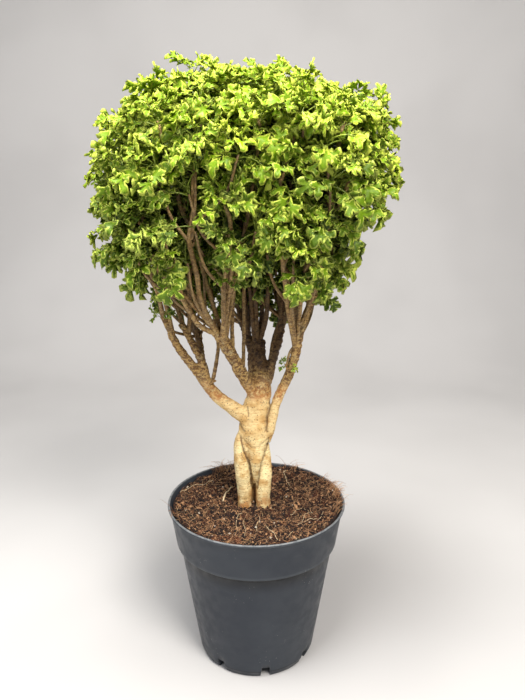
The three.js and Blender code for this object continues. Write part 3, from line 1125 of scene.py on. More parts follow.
    def laid(self) -> list[Shell]:
        """The few pale roots and straws that lie by themselves on the bed, each along its own line.

        Returns:
            One shell for each root.
        """
        shells = []
        for radius, line in self.roots:
            flat = spline(np.array(line, float), 14)
            z = self.surface(flat[:, 0], flat[:, 1]) + 0.6 + radius
            z = z + 1.2 * np.sin(np.linspace(0, np.pi, 14))
            path = np.column_stack([flat, z])[None]
            thick = radius * np.linspace(1.0, 0.6, 14)[None]
            tone = np.full((1, 14), 0.85)
            shells.append(tubes(path, thick, 6, UP, values={"tone": tone}))
        return shells

    def tufts(self) -> Shell:
        """Fibres caught on the rim: fine hairs that rise from the bed's edge, lean out over it and curl.

        Returns:
            One shell with every hair.
        """
        rng = np.random.default_rng(self.tuft_seed)
        middles = np.radians(np.array(self.tuft_turns))
        counts = np.array(self.tuft_counts)
        turn = np.repeat(middles, counts) + rng.normal(0, self.tuft_spread, counts.sum())
        count = len(turn)
        radius = 82 + 8 * rng.random(count)
        t = np.linspace(0, 1, 6)
        long = 6 + 13 * rng.random(count) ** 2
        sway = rng.normal(0, 0.7, count)
        out = radius[:, None] + long[:, None] * t * (0.55 + 0.3 * rng.random(count)[:, None])
        az = turn[:, None] + sway[:, None] * t * long[:, None] / 95
        x, y = out * np.cos(az), out * np.sin(az)
        foot = self.surface(x[:, 0], y[:, 0])[:, None]
        rise = (0.25 + 0.8 * rng.random(count))[:, None]
        clear = np.minimum(1, t * 4)
        z = np.maximum(foot, self.crown) * clear + foot * (1 - clear)
        z = z + long[:, None] * rise * np.sin(t * 1.9) * 0.6
        thick = np.repeat(0.16 + 0.1 * rng.random((count, 1)), 6, axis=1) * (1 - 0.5 * t)
        tone = np.repeat(rng.random(count)[:, None], 6, axis=1)
        return tubes(np.stack([x, y, z], axis=-1), thick, 3, np.array([0.3, 0.1, 1.0]), values={"tone": tone})

    def build(self) -> list[bpy.types.Object]:
        """The bed and its litter as pieces.

        Returns:
            The five pieces.
        """
        peat = Peat().material()
        fibre = Litter("coir_fibre", "7a4222", "ecbd8c").material()
        perlite = Litter("perlite", "b9a893", "efe6d8", 0.9).material()
        straw = Litter("straw", "c89a5c", "f0deb8", 0.6).material()
        bed = dress(mesh_object("soil_bed", [self.bed()], [peat]), Slot.SOIL, "soil")
        crumbs = [self.lumps(*row) for row in self.crumbs]
        loose = dress(mesh_object("peat_crumbs", crumbs, [peat]), Slot.SOIL)
        strands = [*(self.strands(*row) for row in self.fibres), self.tufts()]
        coir = dress(mesh_object("coir_fibres", strands, [fibre]), Slot.SOIL)
        grains = [self.lumps(*self.grains)]
        white = dress(mesh_object("perlite_grains", grains, [perlite]), Slot.SOIL)
        straws = [self.strands(*self.straws), *self.laid()]
        pale = dress(mesh_object("straws", straws, [straw]), Slot.SOIL)
        return [bed, loose, coir, white, pale]


@dataclass
class Head:
    """One leafy head: the node it stands for, its middle, the way it grows and its stem's knots."""

    node: str
    centre: np.ndarray
    axis: np.ndarray
    stem: np.ndarray | None = None


@dataclass
class Skeleton:
    """The wood's paths, each entry [x, y, z, radius] in mm: three legs, a torso, two arms and inner limbs."""

    torso_depth: float = 0.85
    legs: list = field(default_factory=lambda: [
        [[-12.3, -12, 150, 7.0], [-12.3, -12, 172.5, 7.2], [-12.3, -12, 190, 7.7], [-14.3, -12, 212, 7.9],
         [-16, -11, 230, 7.5], [-16.2, -9, 245, 6.2], [-10, -5, 258, 6]],
        [[7.3, -11, 150, 7.4], [7.3, -11, 172.5, 7.7], [7.3, -11, 190, 8], [9, -10, 207, 7.4],
         [9.6, -7, 220, 6.5], [8, -4, 236, 6], [5, -3, 250, 6]],
        [[-2.2, -1, 150, 3.5], [-2.2, -1, 172.5, 3.6], [-2.2, -1, 188, 3.6], [-1.6, -8, 205, 5],
         [0, -11, 220, 7.4], [0, -10, 234, 9], [-0.5, -6, 248, 11]],
    ])
    torso: list = field(default_factory=lambda: [
        [-0.9, -4, 236, 10], [-1.5, -4, 247, 15], [-2.5, -4, 257, 15.6], [-2.5, -3, 269, 14.6],
        [1, -1, 281, 13.8], [2.5, 1, 291, 13.1], [2.5, 3, 303, 12.6], [1, 9, 312, 10],
    ])
    limbs: dict = field(default_factory=lambda: {
        "leftArm": [[2, -4, 264, 9], [-12, -5, 272, 8.8], [-20, -5, 277.5, 7.8], [-28, -5, 283.5, 6.9],
                    [-39, -6, 292.5, 6.4], [-48, -6, 303.5, 6.2], [-56, -6, 316, 6]],
        "leftFork": [[-52, -6, 309, 5], [-66, -10, 330, 4.4], [-77, -14, 347, 4], [-84, -18, 363, 3.6]],
        "leftInner": [[-50, -6, 307, 4.6], [-55, -6, 330, 4.2], [-64, -7, 350, 3.8], [-74, -8, 370, 3.4]],
        "leftRear": [[-48, -4, 298, 4.6], [-56, 10, 328, 3.8], [-61, 24, 356, 3.2]],
        "front": [[2, -2, 292, 7.5], [-4, -5, 300, 7], [-13, -14, 318, 6.4], [-21, -24, 337, 6.2],
                  [-29, -32, 354, 6.2], [-35, -39, 369, 6.6]],
        "centre": [[2, 4, 300, 10], [1, 13, 314, 9.5], [1, 20, 327, 9.5], [3, 27, 345, 6.5]],
        "rearLeft": [[0, 18, 322, 6], [-8, 30, 344, 5], [-17, 42, 366, 4]],
        "rear": [[11, 8, 304, 5.5], [18, 16, 329, 4.6], [24, 21, 349, 4.4], [29, 25, 376, 4]],
        "rightArm": [[11, -8, 244, 3.6], [14, -9, 256, 4.8], [16.6, -9, 269, 5.2], [19.2, -8, 282, 5.2],
                     [23.2, -7, 294, 5], [33, -9, 317, 5], [39.5, -12, 340, 4.8], [43, -14, 361, 4.6]],
        "rightFork": [[42, -13, 354, 4], [50, -16, 383, 3.6], [58, -18, 400, 3.2]],
    })
    leader: list = field(default_factory=lambda: [
        [-35, -39, 366, 4], [-46, -55, 393, 2.9], [-53, -74, 440, 2.5], [-52, -88, 492, 2.2],
    ])
    leader_head: tuple = (-44.0, -96.0, 542.0)

    def stem_roots(self) -> list[str]:
        """The limbs whose ends bear stems: all but the left arm, which ends in its forks."""
        return [name for name in self.limbs if name != "leftArm"]


@dataclass
class Crown:
    """The clipped dome of leafy heads in rings, by the same draws as the solids."""

    middle: tuple = (-8.0, 0.0, 500.0)
    half_width: float = 150.0
    half_depth: float = 132.0
    half_height: float = 112.0
    power: float = 2.7
    top: float = 588.0
    rings: tuple = (
        (430, 7, 0.15, 35), (474, 9, 0.42, 35), (520, 9, 0.1, 35), (560, 7, 0.3, 37), (587, 5, 0.55, 56),
    )
    front_lift: float = 26.0
    front_fade: float = 520.0
    tuck_share: float = 0.24
    tuck_heights: tuple = (430, 515)
    turn_spread: float = 0.12
    height_spread: float = 7.0
    least_radius: float = 22.0
    lean: tuple = (0.85, 0.25)
    lean_heights: tuple = (440, 590)
    aim_share: float = 0.6
    bend_out: float = 0.44
    bend_up: float = 0.46
    stem_low: float = 2.6
    stem_high: float = 1.9
    stem_neck: float = 26.0
    stem_spacing: float = 8.0
    foot: float = -5.8
    seed: int = 20471

    def tuck(self, z: float | np.ndarray, azimuth: float | np.ndarray) -> float | np.ndarray:
        """The factor that draws the dome in, low on the right."""
        return 1 - self.tuck_share * np.maximum(0.0, np.cos(azimuth)) * (1 - smooth(z, *self.tuck_heights))

    def radius(self, z: float, azimuth: float) -> float:
        """The dome's radius at a height and azimuth: a rounded box in plan and section.

        With p the power, the plan is (|cos a / w|^p + |sin a / d|^p)^(-1/p), for the half width w and half
        depth d, and the section is (1 - h^p)^(1/p), for the share h of the half height.

        Args:
            z: The height in mm.
            azimuth: The angle round +Z.

        Returns:
            The radius in mm.
        """
        across = abs(math.cos(azimuth) / self.half_width) ** self.power
        deep = abs(math.sin(azimuth) / self.half_depth) ** self.power
        plan = (across + deep) ** (-1 / self.power)
        rise = min(abs(z - self.middle[2]) / self.half_height, 0.98)
        section = (1 - rise**self.power) ** (1 / self.power)
        return plan * section * self.tuck(z, azimuth)

    def share(self, points: np.ndarray) -> np.ndarray:
        """How far out points lie: 0 at the dome's middle, 1 on its surface.

        The share is (|x / w|^p + |y / d|^p + |z / h|^p)^(1/p), for x, y, z from the middle and the dome's
        half width w, half depth d and half height h.

        Args:
            points: (n, 3) places in mm.

        Returns:
            One share a point.
        """
        x, y, z = (points - np.array(self.middle)).T
        tuck = self.tuck(points[:, 2], np.arctan2(y, x))
        across = np.abs(x / tuck / self.half_width) ** self.power
        deep = np.abs(y / tuck / self.half_depth) ** self.power
        return (across + deep + np.abs(z / self.half_height) ** self.power) ** (1 / self.power)

    def heads(self, skeleton: Skeleton) -> list[Head]:
        """Every head with its stem, in the order of the nodes.

        Args:
            skeleton: The wood that bears them.

        Returns:
            The heads.
        """
        draw = Draw(self.seed)
        middle = np.array(self.middle)
        heads = []
        for height, count, turn, inset in self.rings:
            for i in range(count):
                azimuth = 2 * math.pi * (i + turn + draw.spread(self.turn_spread)) / count
                front = max(0.0, -math.sin(azimuth))
                lift = self.front_lift * front * (1 - smooth(height, self.rings[0][0], self.front_fade))
                z = height + draw.spread(self.height_spread) + lift
                radius = max(self.radius(z, azimuth) - inset, self.least_radius)
                out = np.array([math.cos(azimuth), math.sin(azimuth), 0.0])
                centre = np.array([middle[0], middle[1], z]) + out * radius
                lean = mix(*self.lean, smooth(z, *self.lean_heights))
                axis = unit(UP + out * lean)
                heads.append(Head(f"leafy_shoot_{len(heads) + 1:02d}", centre, axis))
        top = np.array([middle[0], middle[1], self.top])
        heads.append(Head(f"leafy_shoot_{len(heads) + 1:02d}", top, UP))
        leader = min(heads, key=lambda head: np.linalg.norm(head.centre - np.array(skeleton.leader_head)))
        leader.centre = np.array(skeleton.leader_head)
        taken: dict[str, int] = {}
        for head in heads:
            head.stem = self.stem(head, skeleton, taken, head is leader)
        return heads

    def stem(self, head: Head, skeleton: Skeleton, taken: dict[str, int], leads: bool) -> np.ndarray:
        """The knots of a head's woody stem.

        Args:
            head: The head.
            skeleton: The limbs it may grow from.
            taken: How many stems each limb already bears; this adds one.
            leads: True for the one long bare stem in front.

        Returns:
            (k, 4) knots of x, y, z and radius.
        """
        foot = head.centre + head.axis * self.foot
        if leads:
            return np.array([*skeleton.leader, [*foot, self.stem_high]], float)
        aim = head.centre[:2] * self.aim_share
        ends = {name: np.array(skeleton.limbs[name][-1][:2], float) for name in skeleton.stem_roots()}
        root = min(ends, key=lambda name: np.linalg.norm(ends[name] - aim))
        taken[root] = taken.get(root, 0) + 1
        end = np.array(skeleton.limbs[root][-1][:3], float)
        before = np.array(skeleton.limbs[root][-2][:3], float)
        back = min(self.stem_spacing * taken[root] / np.linalg.norm(end - before), 0.95)
        start = mix(end, before, back)
        neck = foot - head.axis * self.stem_neck
        bend = np.array([*mix(start[:2], neck[:2], self.bend_out), mix(start[2], neck[2], self.bend_up)])
        taper = [mix(self.stem_low, self.stem_high, share) for share in (0, 0.4, 0.8, 1)]
        return np.array([[*p, r] for p, r in zip((start, bend, neck, foot), taper)], float)


@dataclass
class Leaflet:
    """One cut leaflet of unit length: broad blunt lobes round a hub, as a thin lens.

    Each lobe is (its angle from the rib in degrees, its length, its half width).
    """

    lobes: tuple = ((-60.0, 0.46, 0.135), (0.0, 0.6, 0.18), (60.0, 0.46, 0.135))
    hub: float = 0.4
    cut: float = 0.25
    wing: float = 0.17
    base: float = 0.025
    thick: float = 0.016
    fold: float = 0.48
    cup: float = 0.45
    lift: float = 0.12
    ruffle: float = 0.075
    rim_scale: float = 0.2

    def polar(self, degrees: float, radius: float) -> tuple[float, float]:
        """A point by its angle and distance from the hub."""
        turn = math.radians(degrees)
        return self.hub + radius * math.cos(turn), radius * math.sin(turn)

    def lobe(self, angle: float, length: float, half: float, rng: np.random.Generator) -> list:
        """Five outline points of a lobe: a side, a shoulder, the tip, and the other shoulder and side.

        Args:
            angle: The lobe's angle in degrees.
            length: Its length.
            half: Its half width.
            rng: The draw.

        Returns:
            The five points.
        """
        turn = math.radians(angle)
        along = np.array([0.6, 0.88, 1.0, 0.88, 0.6]) * length + rng.normal(0, 0.02, 5)
        across = np.array([-1.0, -0.85, 0.0, 0.85, 1.0]) * half * (1 + rng.normal(0, 0.1, 5))
        x = self.hub + along * math.cos(turn) - across * math.sin(turn)
        y = along * math.sin(turn) + across * math.cos(turn)
        return list(zip(x, y))

    def outline(self, rng: np.random.Generator) -> tuple[list, list]:
        """The blade's outline and inner points.

        Args:
            rng: The draw for the lobes' lengths and turns.

        Returns:
            The outline's points round from the base, and the hub with one point on each lobe's vein.
        """
        outer = self.lobes[-1][0] + 62
        edge = [(0.0, -self.base), self.polar(-outer, self.wing)]
        veins = [(self.hub, 0.0)]
        for k, (angle, length, half) in enumerate(self.lobes):
            if k:
                between = (angle + self.lobes[k - 1][0]) / 2
                edge.append(self.polar(between, self.cut * (1 + rng.normal(0, 0.12))))
            length = length * (1 + rng.normal(0, 0.06))
            angle = angle + rng.normal(0, 2.5)
            edge += self.lobe(angle, length, half, rng)
            veins.append(self.polar(angle, length * 0.62))
        edge += [self.polar(outer, self.wing), (0.0, self.base)]
        return edge, veins

    def lens(self, rng: np.random.Generator, narrow: float) -> Shell:
        """The leaflet's points and faces.

        The blade folds up from its rib by a share of |y|, cups down by a share of x^2 and rises by a share of
        x, and its outline is ruffled by a sine. The value edge falls from 1 on the outline by the true
        distance inwards, so a margin has one width.

        Args:
            rng: The draw.
            narrow: A factor on the width.

        Returns:
            The shell, with edge and under values.
        """
        edge, veins = self.outline(rng)
        rim, inner, count = len(edge), len(veins), len(self.lobes)
        flat = np.array(edge + veins + veins[:1])
        flat[:, 1] *= narrow
        x, y = flat.T
        z = self.fold * np.abs(y) - self.cup * x**2 + self.lift * x
        z[:rim] += self.ruffle * np.sin(np.arange(rim) * 1.9 + rng.random() * 6) + rng.normal(0, 0.02, rim)
        z[rim : rim + inner] += self.thick
        z[rim + inner] -= self.thick
        hub = rim
        faces = [(hub, rim - 1, 0), (hub, rim - 2, rim - 1), (hub, 0, 1)]
        for k in range(count):
            ring = [1 + 6 * k + j for j in range(7)]
            vein = rim + 1 + k
            faces += [(vein, a, b) for a, b in zip(ring[:-1], ring[1:])]
            faces += [(hub, ring[0], vein), (hub, vein, ring[-1])]
        ring = np.arange(rim)
        bottom = np.column_stack([np.full(rim, rim + inner), (ring + 1) % rim, ring])
        inward = line_distance(flat, flat[:rim], flat[(ring + 1) % rim])
        values = {
            "edge": 1 - np.minimum(inward / self.rim_scale, 1),
            "under": np.concatenate([np.full(rim, 0.5), np.zeros(inner), np.ones(1)]),
        }
        return Shell(np.stack([x, y, z], axis=1), [np.array(faces), bottom], values)


@dataclass
class CompoundLeaf:
    """A leaf of three or five leaflets on a stalk, flat along +X in mm, before it is bent and placed."""

    stalk: float = 17.0
    rachis: float = 8.0
    terminal: float = 21.0
    stalk_radius: float = 0.6
    cut_lobes: tuple = (
        (-86.0, 0.4, 0.085), (-43.0, 0.52, 0.11), (0.0, 0.6, 0.125), (43.0, 0.52, 0.11), (86.0, 0.4, 0.085),
    )

    def template(self, seed: int, pairs: int) -> tuple[list[Shell], float]:
        """The leaf's shells.

        Args:
            seed: The draw for this kind of leaf.
            pairs: Side pairs of leaflets, 1 or 2.

        Returns:
            The blade shell, finish 0, and the stalk shell, finish 1, then the leaf's length.
        """
        rng = np.random.default_rng(seed)
        end = self.stalk + self.rachis
        seats = [(end, 0.0, 1.0)]
        for k in range(pairs):
            for side in (-1, 1):
                at = mix(end - 2.5, self.stalk - 1, k) + rng.normal(0, 0.8)
                heading = side * (48 + 20 * k + rng.normal(0, 7))
                seats.append((at, heading, 0.86 - 0.16 * k + rng.normal(0, 0.05)))
        finely = seed % 3 == 0
        blades = []
        for at, heading, size in seats:
            if finely and size > 0.8:
                shape = Leaflet(lobes=self.cut_lobes)
            else:
                shape = Leaflet(cut=rng.uniform(0.2, 0.3))
            lens = shape.lens(rng, 0.98 + rng.normal(0, 0.08))
            turn, roll = math.radians(heading), rng.normal(0, 0.5)
            x, y, z = (lens.points * self.terminal * size).T
            y, z = y * math.cos(roll) - z * math.sin(roll), y * math.sin(roll) + z * math.cos(roll)
            forward = np.array([math.cos(turn), math.sin(turn), 0])
            across = np.array([-math.sin(turn), math.cos(turn), 0])
            lens.points = x[:, None] * forward + y[:, None] * across + z[:, None] * UP
            lens.points += np.array([at, 0, 0])
            blades.append(lens)
        points, faces, values = Shell.joined(blades)
        blade = Shell(points, [np.concatenate([block for block, _ in faces])], values)
        path = np.stack([np.linspace(0, end + 1, 5), np.zeros(5), np.zeros(5)], axis=1)[None]
        radii = np.linspace(self.stalk_radius * 1.3, self.stalk_radius * 0.6, 5)[None]
        stalk = tubes(path, radii, 3, BACK, finish=1)
        return [blade, stalk], end + self.terminal


@dataclass
class Rosette:
    """A tuft of leaves: its middle, the way it grows, how many leaves, their size and how shaded it is."""

    centre: np.ndarray
    axis: np.ndarray
    leaves: int
    size: float
    shade: float = 0.0


@dataclass
class Foliage:
    """All the leafy heads: rosettes spread evenly over the dome, each shared to the nearest head's piece."""

    crown: Crown
    skeleton: Skeleton
    kinds: int = 12
    leaves: int = 9
    leaf_size: float = 1.06
    shell: tuple = (0.73, 0.82)
    spacing: float = 28.5
    inner_shell: tuple = (0.3, 0.64)
    inner_spacing: float = 35.0
    low: float = 420.0
    front_low: float = 28.0
    bare_half: float = 8.0
    bare_heights: tuple = (380.0, 506.0)
    hollows: tuple = ((-8.0, -98.0, 471.0, 12.0),)
    sprays: tuple = (
        ((104, -14, 560), (1.0, -0.1, 0.35), 7, 1.0), ((113, -12, 520), (1.0, -0.1, 0.3), 7, 1.0),
        ((-132, -12, 462), (-1.0, -0.1, 0.1), 6, 1.05), ((-120, -6, 505), (-1.0, -0.1, 0.5), 8, 1.0),
        ((-54, -20, 599), (-0.1, -0.1, 1.0), 9, 0.9), ((-48, -99, 521), (-0.1, -0.5, 0.85), 9, 0.95),
        ((-96, -16, 570), (-0.6, -0.1, 0.9), 8, 0.95),
        ((-28, -72, 424), (-0.1, -0.6, 0.8), 5, 0.62), ((29, -17, 330), (-0.5, -0.5, 0.8), 4, 0.36),
        ((-95, -20, 380), (-0.8, -0.3, 0.4), 4, 0.42), ((-52, 8, 384), (-0.2, -0.4, 0.8), 6, 0.6),
        ((-70, 14, 398), (-0.4, -0.2, 0.8), 7, 0.7), ((72, -20, 424), (0.7, -0.3, 0.6), 8, 0.9),
        ((44, 10, 410), (0.2, -0.4, 0.8), 6, 0.7), ((-100, 0, 412), (-0.7, -0.3, 0.5), 8, 0.85),
    )
    shaded_axis: tuple = (0.0, -0.3, 0.95)
    shaded_leaves: int = 8
    shaded_size: float = 0.9
    shaded_sprays: tuple = (
        (-38, 40, 392), (-70, 44, 400), (-14, 56, 402), (20, 60, 396), (46, 48, 388), (66, 30, 400),
        (0, 20, 412), (-56, 62, 386), (34, 70, 384), (-30, 0, 416), (30, 0, 418), (-6, 72, 380),
    )
    tip_drop: float = 6.0
    lean: tuple = (0.9, 0.3)
    upright_reach: float = 60.0
    drawn_in: float = 15.0
    let_down: float = 9.0
    climb: tuple = (-11.0, 2.0)
    rise: tuple = (0.5, 1.3)
    droop: tuple = (1.6, 0.8)
    youngest: float = 0.62
    seed: int = 77
    trials: int = 60000

    def spread(self, low: float, high: float, spacing: float, placed: np.ndarray, seed: int) -> np.ndarray:
        """Places between two shares of the dome, no two nearer than the spacing.

        Random places are taken in turn, and each is kept if it is clear of all that are kept already.

        Args:
            low: The least share of the way out.
            high: The greatest.
            spacing: The least distance apart.
            placed: Places already taken, (n, 3).
            seed: The draw.

        Returns:
            The new places.
        """
        rng = np.random.default_rng(seed)
        crown = self.crown
        box = np.array([crown.half_width, crown.half_depth, crown.half_height])
        trial = np.array(crown.middle) + (rng.random((self.trials, 3)) * 2 - 1) * box
        out = crown.share(trial)
        azimuth = np.arctan2(trial[:, 1], trial[:, 0] - crown.middle[0])
        floor = self.low + self.front_low * np.maximum(0, -np.sin(azimuth))
        trial = trial[(out > low) & (out < high) & (trial[:, 2] > floor)]
        kept = list(placed)
        for point in trial:
            if not kept or np.min(np.linalg.norm(np.array(kept) - point, axis=1)) > spacing:
                kept.append(point)
        return np.array(kept[len(placed) :])

    def rosettes(self, heads: list[Head]) -> list[list[Rosette]]:
        """Every rosette, in one list for each head.

        One sits on each head's tip and the rest go to the nearest head. Then those low on the right are
        drawn in and those high on the right let down, by smooth steps, as the dome's outline is there.

        Args:
            heads: The heads.

        Returns:
            One list for each head.
        """
        centres = np.array([head.centre for head in heads])
        tips = [head.centre - head.axis * self.tip_drop for head in heads]
        groups = [
            [Rosette(tip, head.axis, self.leaves + 1, self.leaf_size)] for tip, head in zip(tips, heads)
        ]
        outer = self.spread(*self.shell, self.spacing, centres, self.seed)
        inner = self.spread(*self.inner_shell, self.inner_spacing, np.zeros((0, 3)), self.seed + 1)
        middle = np.array(self.crown.middle)
        loose = []
        for places, shade in ((outer, 0.0), (inner, 1.0)):
            for place in places:
                away = (place - middle) * np.array([1, 1, 0])
                lean = mix(*self.lean, smooth(place[2], *self.crown.lean_heights))
                lean = lean * min(1.0, np.linalg.norm(away) / self.upright_reach)
                axis = unit(UP + unit(away) * lean)
                count = self.leaves if shade == 0 else self.leaves - 1
                size = self.leaf_size * (1 if shade == 0 else 0.95)
                loose.append(Rosette(place, axis, count, size, shade))
        for place in self.shaded_sprays:
            spray = Rosette(
                np.array(place, float), np.array(self.shaded_axis), self.shaded_leaves, self.shaded_size, 1.0
            )
            loose.append(spray)
        for place, axis, count, size in self.sprays:
            loose.append(Rosette(np.array(place, float), unit(np.array(axis, float)), count, size))
        for rosette in loose:
            away = np.linalg.norm(centres - rosette.centre, axis=1)
            groups[int(np.argmin(away))].append(rosette)
        for rosette in (rosette for group in groups for rosette in group):
            x, z = rosette.centre[0], rosette.centre[2]
            rosette.centre[0] = x - self.drawn_in * smooth(x, 50, 95) * (1 - smooth(z, 470, 515))
            rosette.centre[2] = z - self.let_down * smooth(z, 560, 590) * smooth(x, 10, 90)
        return groups

    def leaf_spots(self, rosette: Rosette, rng: np.random.Generator) -> dict[str, np.ndarray]:
        """Where each leaf of a rosette goes.

        Leaf i is turned by the golden angle; from the oldest to the youngest, its seat climbs the shoot, it
        rises more steeply, droops less and is smaller.

        Args:
            rosette: The rosette.
            rng: The draw.

        Returns:
            Arrays for place_leaves, one row a leaf.
        """
        count, size, axis = rosette.leaves, rosette.size, rosette.axis
        youth = np.arange(count) / max(count - 1, 1)
        side = unit(np.cross(np.array([0.0, 0.02, 1.0]), axis + np.array([1e-3, 0, 0])))
        ahead = np.cross(axis, side)
        turn = GOLDEN * np.arange(count) + rng.random() * 2 * np.pi + rng.normal(0, 0.2, count)
        high = smooth(rosette.centre[2], 560, 590)
        # painted light: tone rises higher in the crown; painted shade: shaded rosettes are darker
        tone = 0.2 + 0.5 * smooth(rosette.centre[2], 430, 590) + 0.22 * youth
        tone = tone + rng.normal(0, 0.1) - 0.5 * rosette.shade
        return {
            "seat": rosette.centre + axis * mix(*self.climb, youth)[:, None] * size,
            "flat": np.cos(turn)[:, None] * side + np.sin(turn)[:, None] * ahead,
            "axis": np.repeat(axis[None], count, axis=0),
            "rise": mix(self.rise[0], self.rise[1] - 0.2 * high, youth**0.9) + rng.normal(0, 0.16, count),
            "bend": mix(*self.droop, youth) + rng.normal(0, 0.25, count),
            "size": size * mix(1.0, self.youngest, youth**1.3) * (1 + rng.normal(0, 0.07, count)),
            "tone": np.clip(tone + rng.normal(0, 0.12, count), 0, 1),
            "cream": rng.random(count) ** 9 + 0.1 * (1 - high) * rng.random(count),
        }

    def open_place(self, points: np.ndarray) -> np.ndarray:
        """True for points that would hide the long bare stem or fill a dark hollow.

        Args:
            points: (..., 3) places.

        Returns:
            (...) flags.
        """
        x, y, z = np.moveaxis(points, -1, 0)
        path = spline(np.array(self.skeleton.leader, float), 30)
        at_x = np.interp(z, path[:, 2], path[:, 0])
        at_y = np.interp(z, path[:, 2], path[:, 1])
        low, high = self.bare_heights
        bare = (np.abs(x - at_x) < self.bare_half) & (y < at_y + 3) & (z > low) & (z < high)
        for hx, hy, hz, radius in self.hollows:
            bare |= (np.hypot(x - hx, z - hz) < radius) & (y < hy + 30) & (y > hy - 60)
        return bare

    def place_leaves(self, spots: dict[str, np.ndarray], kinds: np.ndarray, shapes: list) -> list[Shell]:
        """Bends the template leaves and sets them on their seats.

        A point at distance u along the leaf goes to the arc whose slope falls from rise by bend * u / length:
        forward (sin rise - sin a) / k and up (cos a - cos rise) / k, where a is its slope there and k the
        bend per mm; its height over the leaf's plane is laid along the arc's normal. A leaf that would cover
        an open place is left out.

        Args:
            spots: The rows that leaf_spots gives.
            kinds: Which template each leaf takes.
            shapes: The templates.

        Returns:
            Shells of blades and of stalks.
        """
        shells = []
        for kind, (parts, length) in enumerate(shapes):
            rows = np.nonzero(kinds == kind)[0]
            placed = [self.bent(spots, rows, part.points, length) for part in parts]
            clear = self.open_place(placed[0]).mean(axis=1) < 0.1
            rows = rows[clear]
            if not len(rows):
                continue
            for part, points in zip(parts, placed):
                count = len(part.points)
                shift = (np.arange(len(rows)) * count)[:, None, None]
                faces = [(block[None] + shift).reshape(-1, block.shape[1]) for block in part.faces]
                values = {key: np.tile(value, len(rows)) for key, value in part.values.items()}
                values["tone"] = np.repeat(spots["tone"][rows], count)
                values["cream"] = np.repeat(spots["cream"][rows], count)
                shells.append(Shell(points[clear].reshape(-1, 3), faces, values, part.finish))
        return shells

    def bent(
        self, spots: dict[str, np.ndarray], rows: np.ndarray, flat_points: np.ndarray, length: float
    ) -> np.ndarray:
        """Template points bent and placed for some leaves.

        Args:
            spots: The rows that leaf_spots gives.
            rows: Which of them to place.
            flat_points: (n, 3) points of the flat leaf.
            length: The flat leaf's length.

        Returns:
            (rows, n, 3) points.
        """
        size, rise = spots["size"][rows, None], spots["rise"][rows, None]
        bend = np.maximum(spots["bend"][rows, None], 0.15)
        flat, axis = spots["flat"][rows, None, :], spots["axis"][rows, None, :]
        u, v, w = (flat_points[:, i][None] * size for i in range(3))
        k = bend / (length * size)
        slope = rise - k * u
        forward = (np.sin(rise) - np.sin(slope)) / k - w * np.sin(slope)
        up = (np.cos(slope) - np.cos(rise)) / k + w * np.cos(slope)
        across = np.cross(axis, flat)
        points = spots["seat"][rows, None, :] + forward[..., None] * flat + v[..., None] * across
        return points + up[..., None] * axis

    def build(self, heads: list[Head], groups: list[list[Rosette]]) -> list[bpy.types.Object]:
        """One piece for each head, in place of its node.

        Args:
            heads: The heads.
            groups: Their rosettes.

        Returns:
            The pieces.
        """
        rng = np.random.default_rng(self.seed)
        leaf = CompoundLeaf()
        shapes = [leaf.template(100 + k, 1 if k % 4 == 3 else 2) for k in range(self.kinds)]
        materials = [LeafFlesh().material(), Petiole().material()]
        pieces = []
        for head, group in zip(heads, groups):
            sets = [self.leaf_spots(rosette, rng) for rosette in group]
            spots = {key: np.concatenate([rows[key] for rows in sets]) for key in sets[0]}
            kinds = rng.integers(0, self.kinds, len(spots["size"]))
            name = head.node.replace("leafy_shoot", "foliage")
            piece = mesh_object(name, self.place_leaves(spots, kinds, shapes), materials)
            pieces.append(dress(piece, Slot.LEAF, head.node))
        return pieces


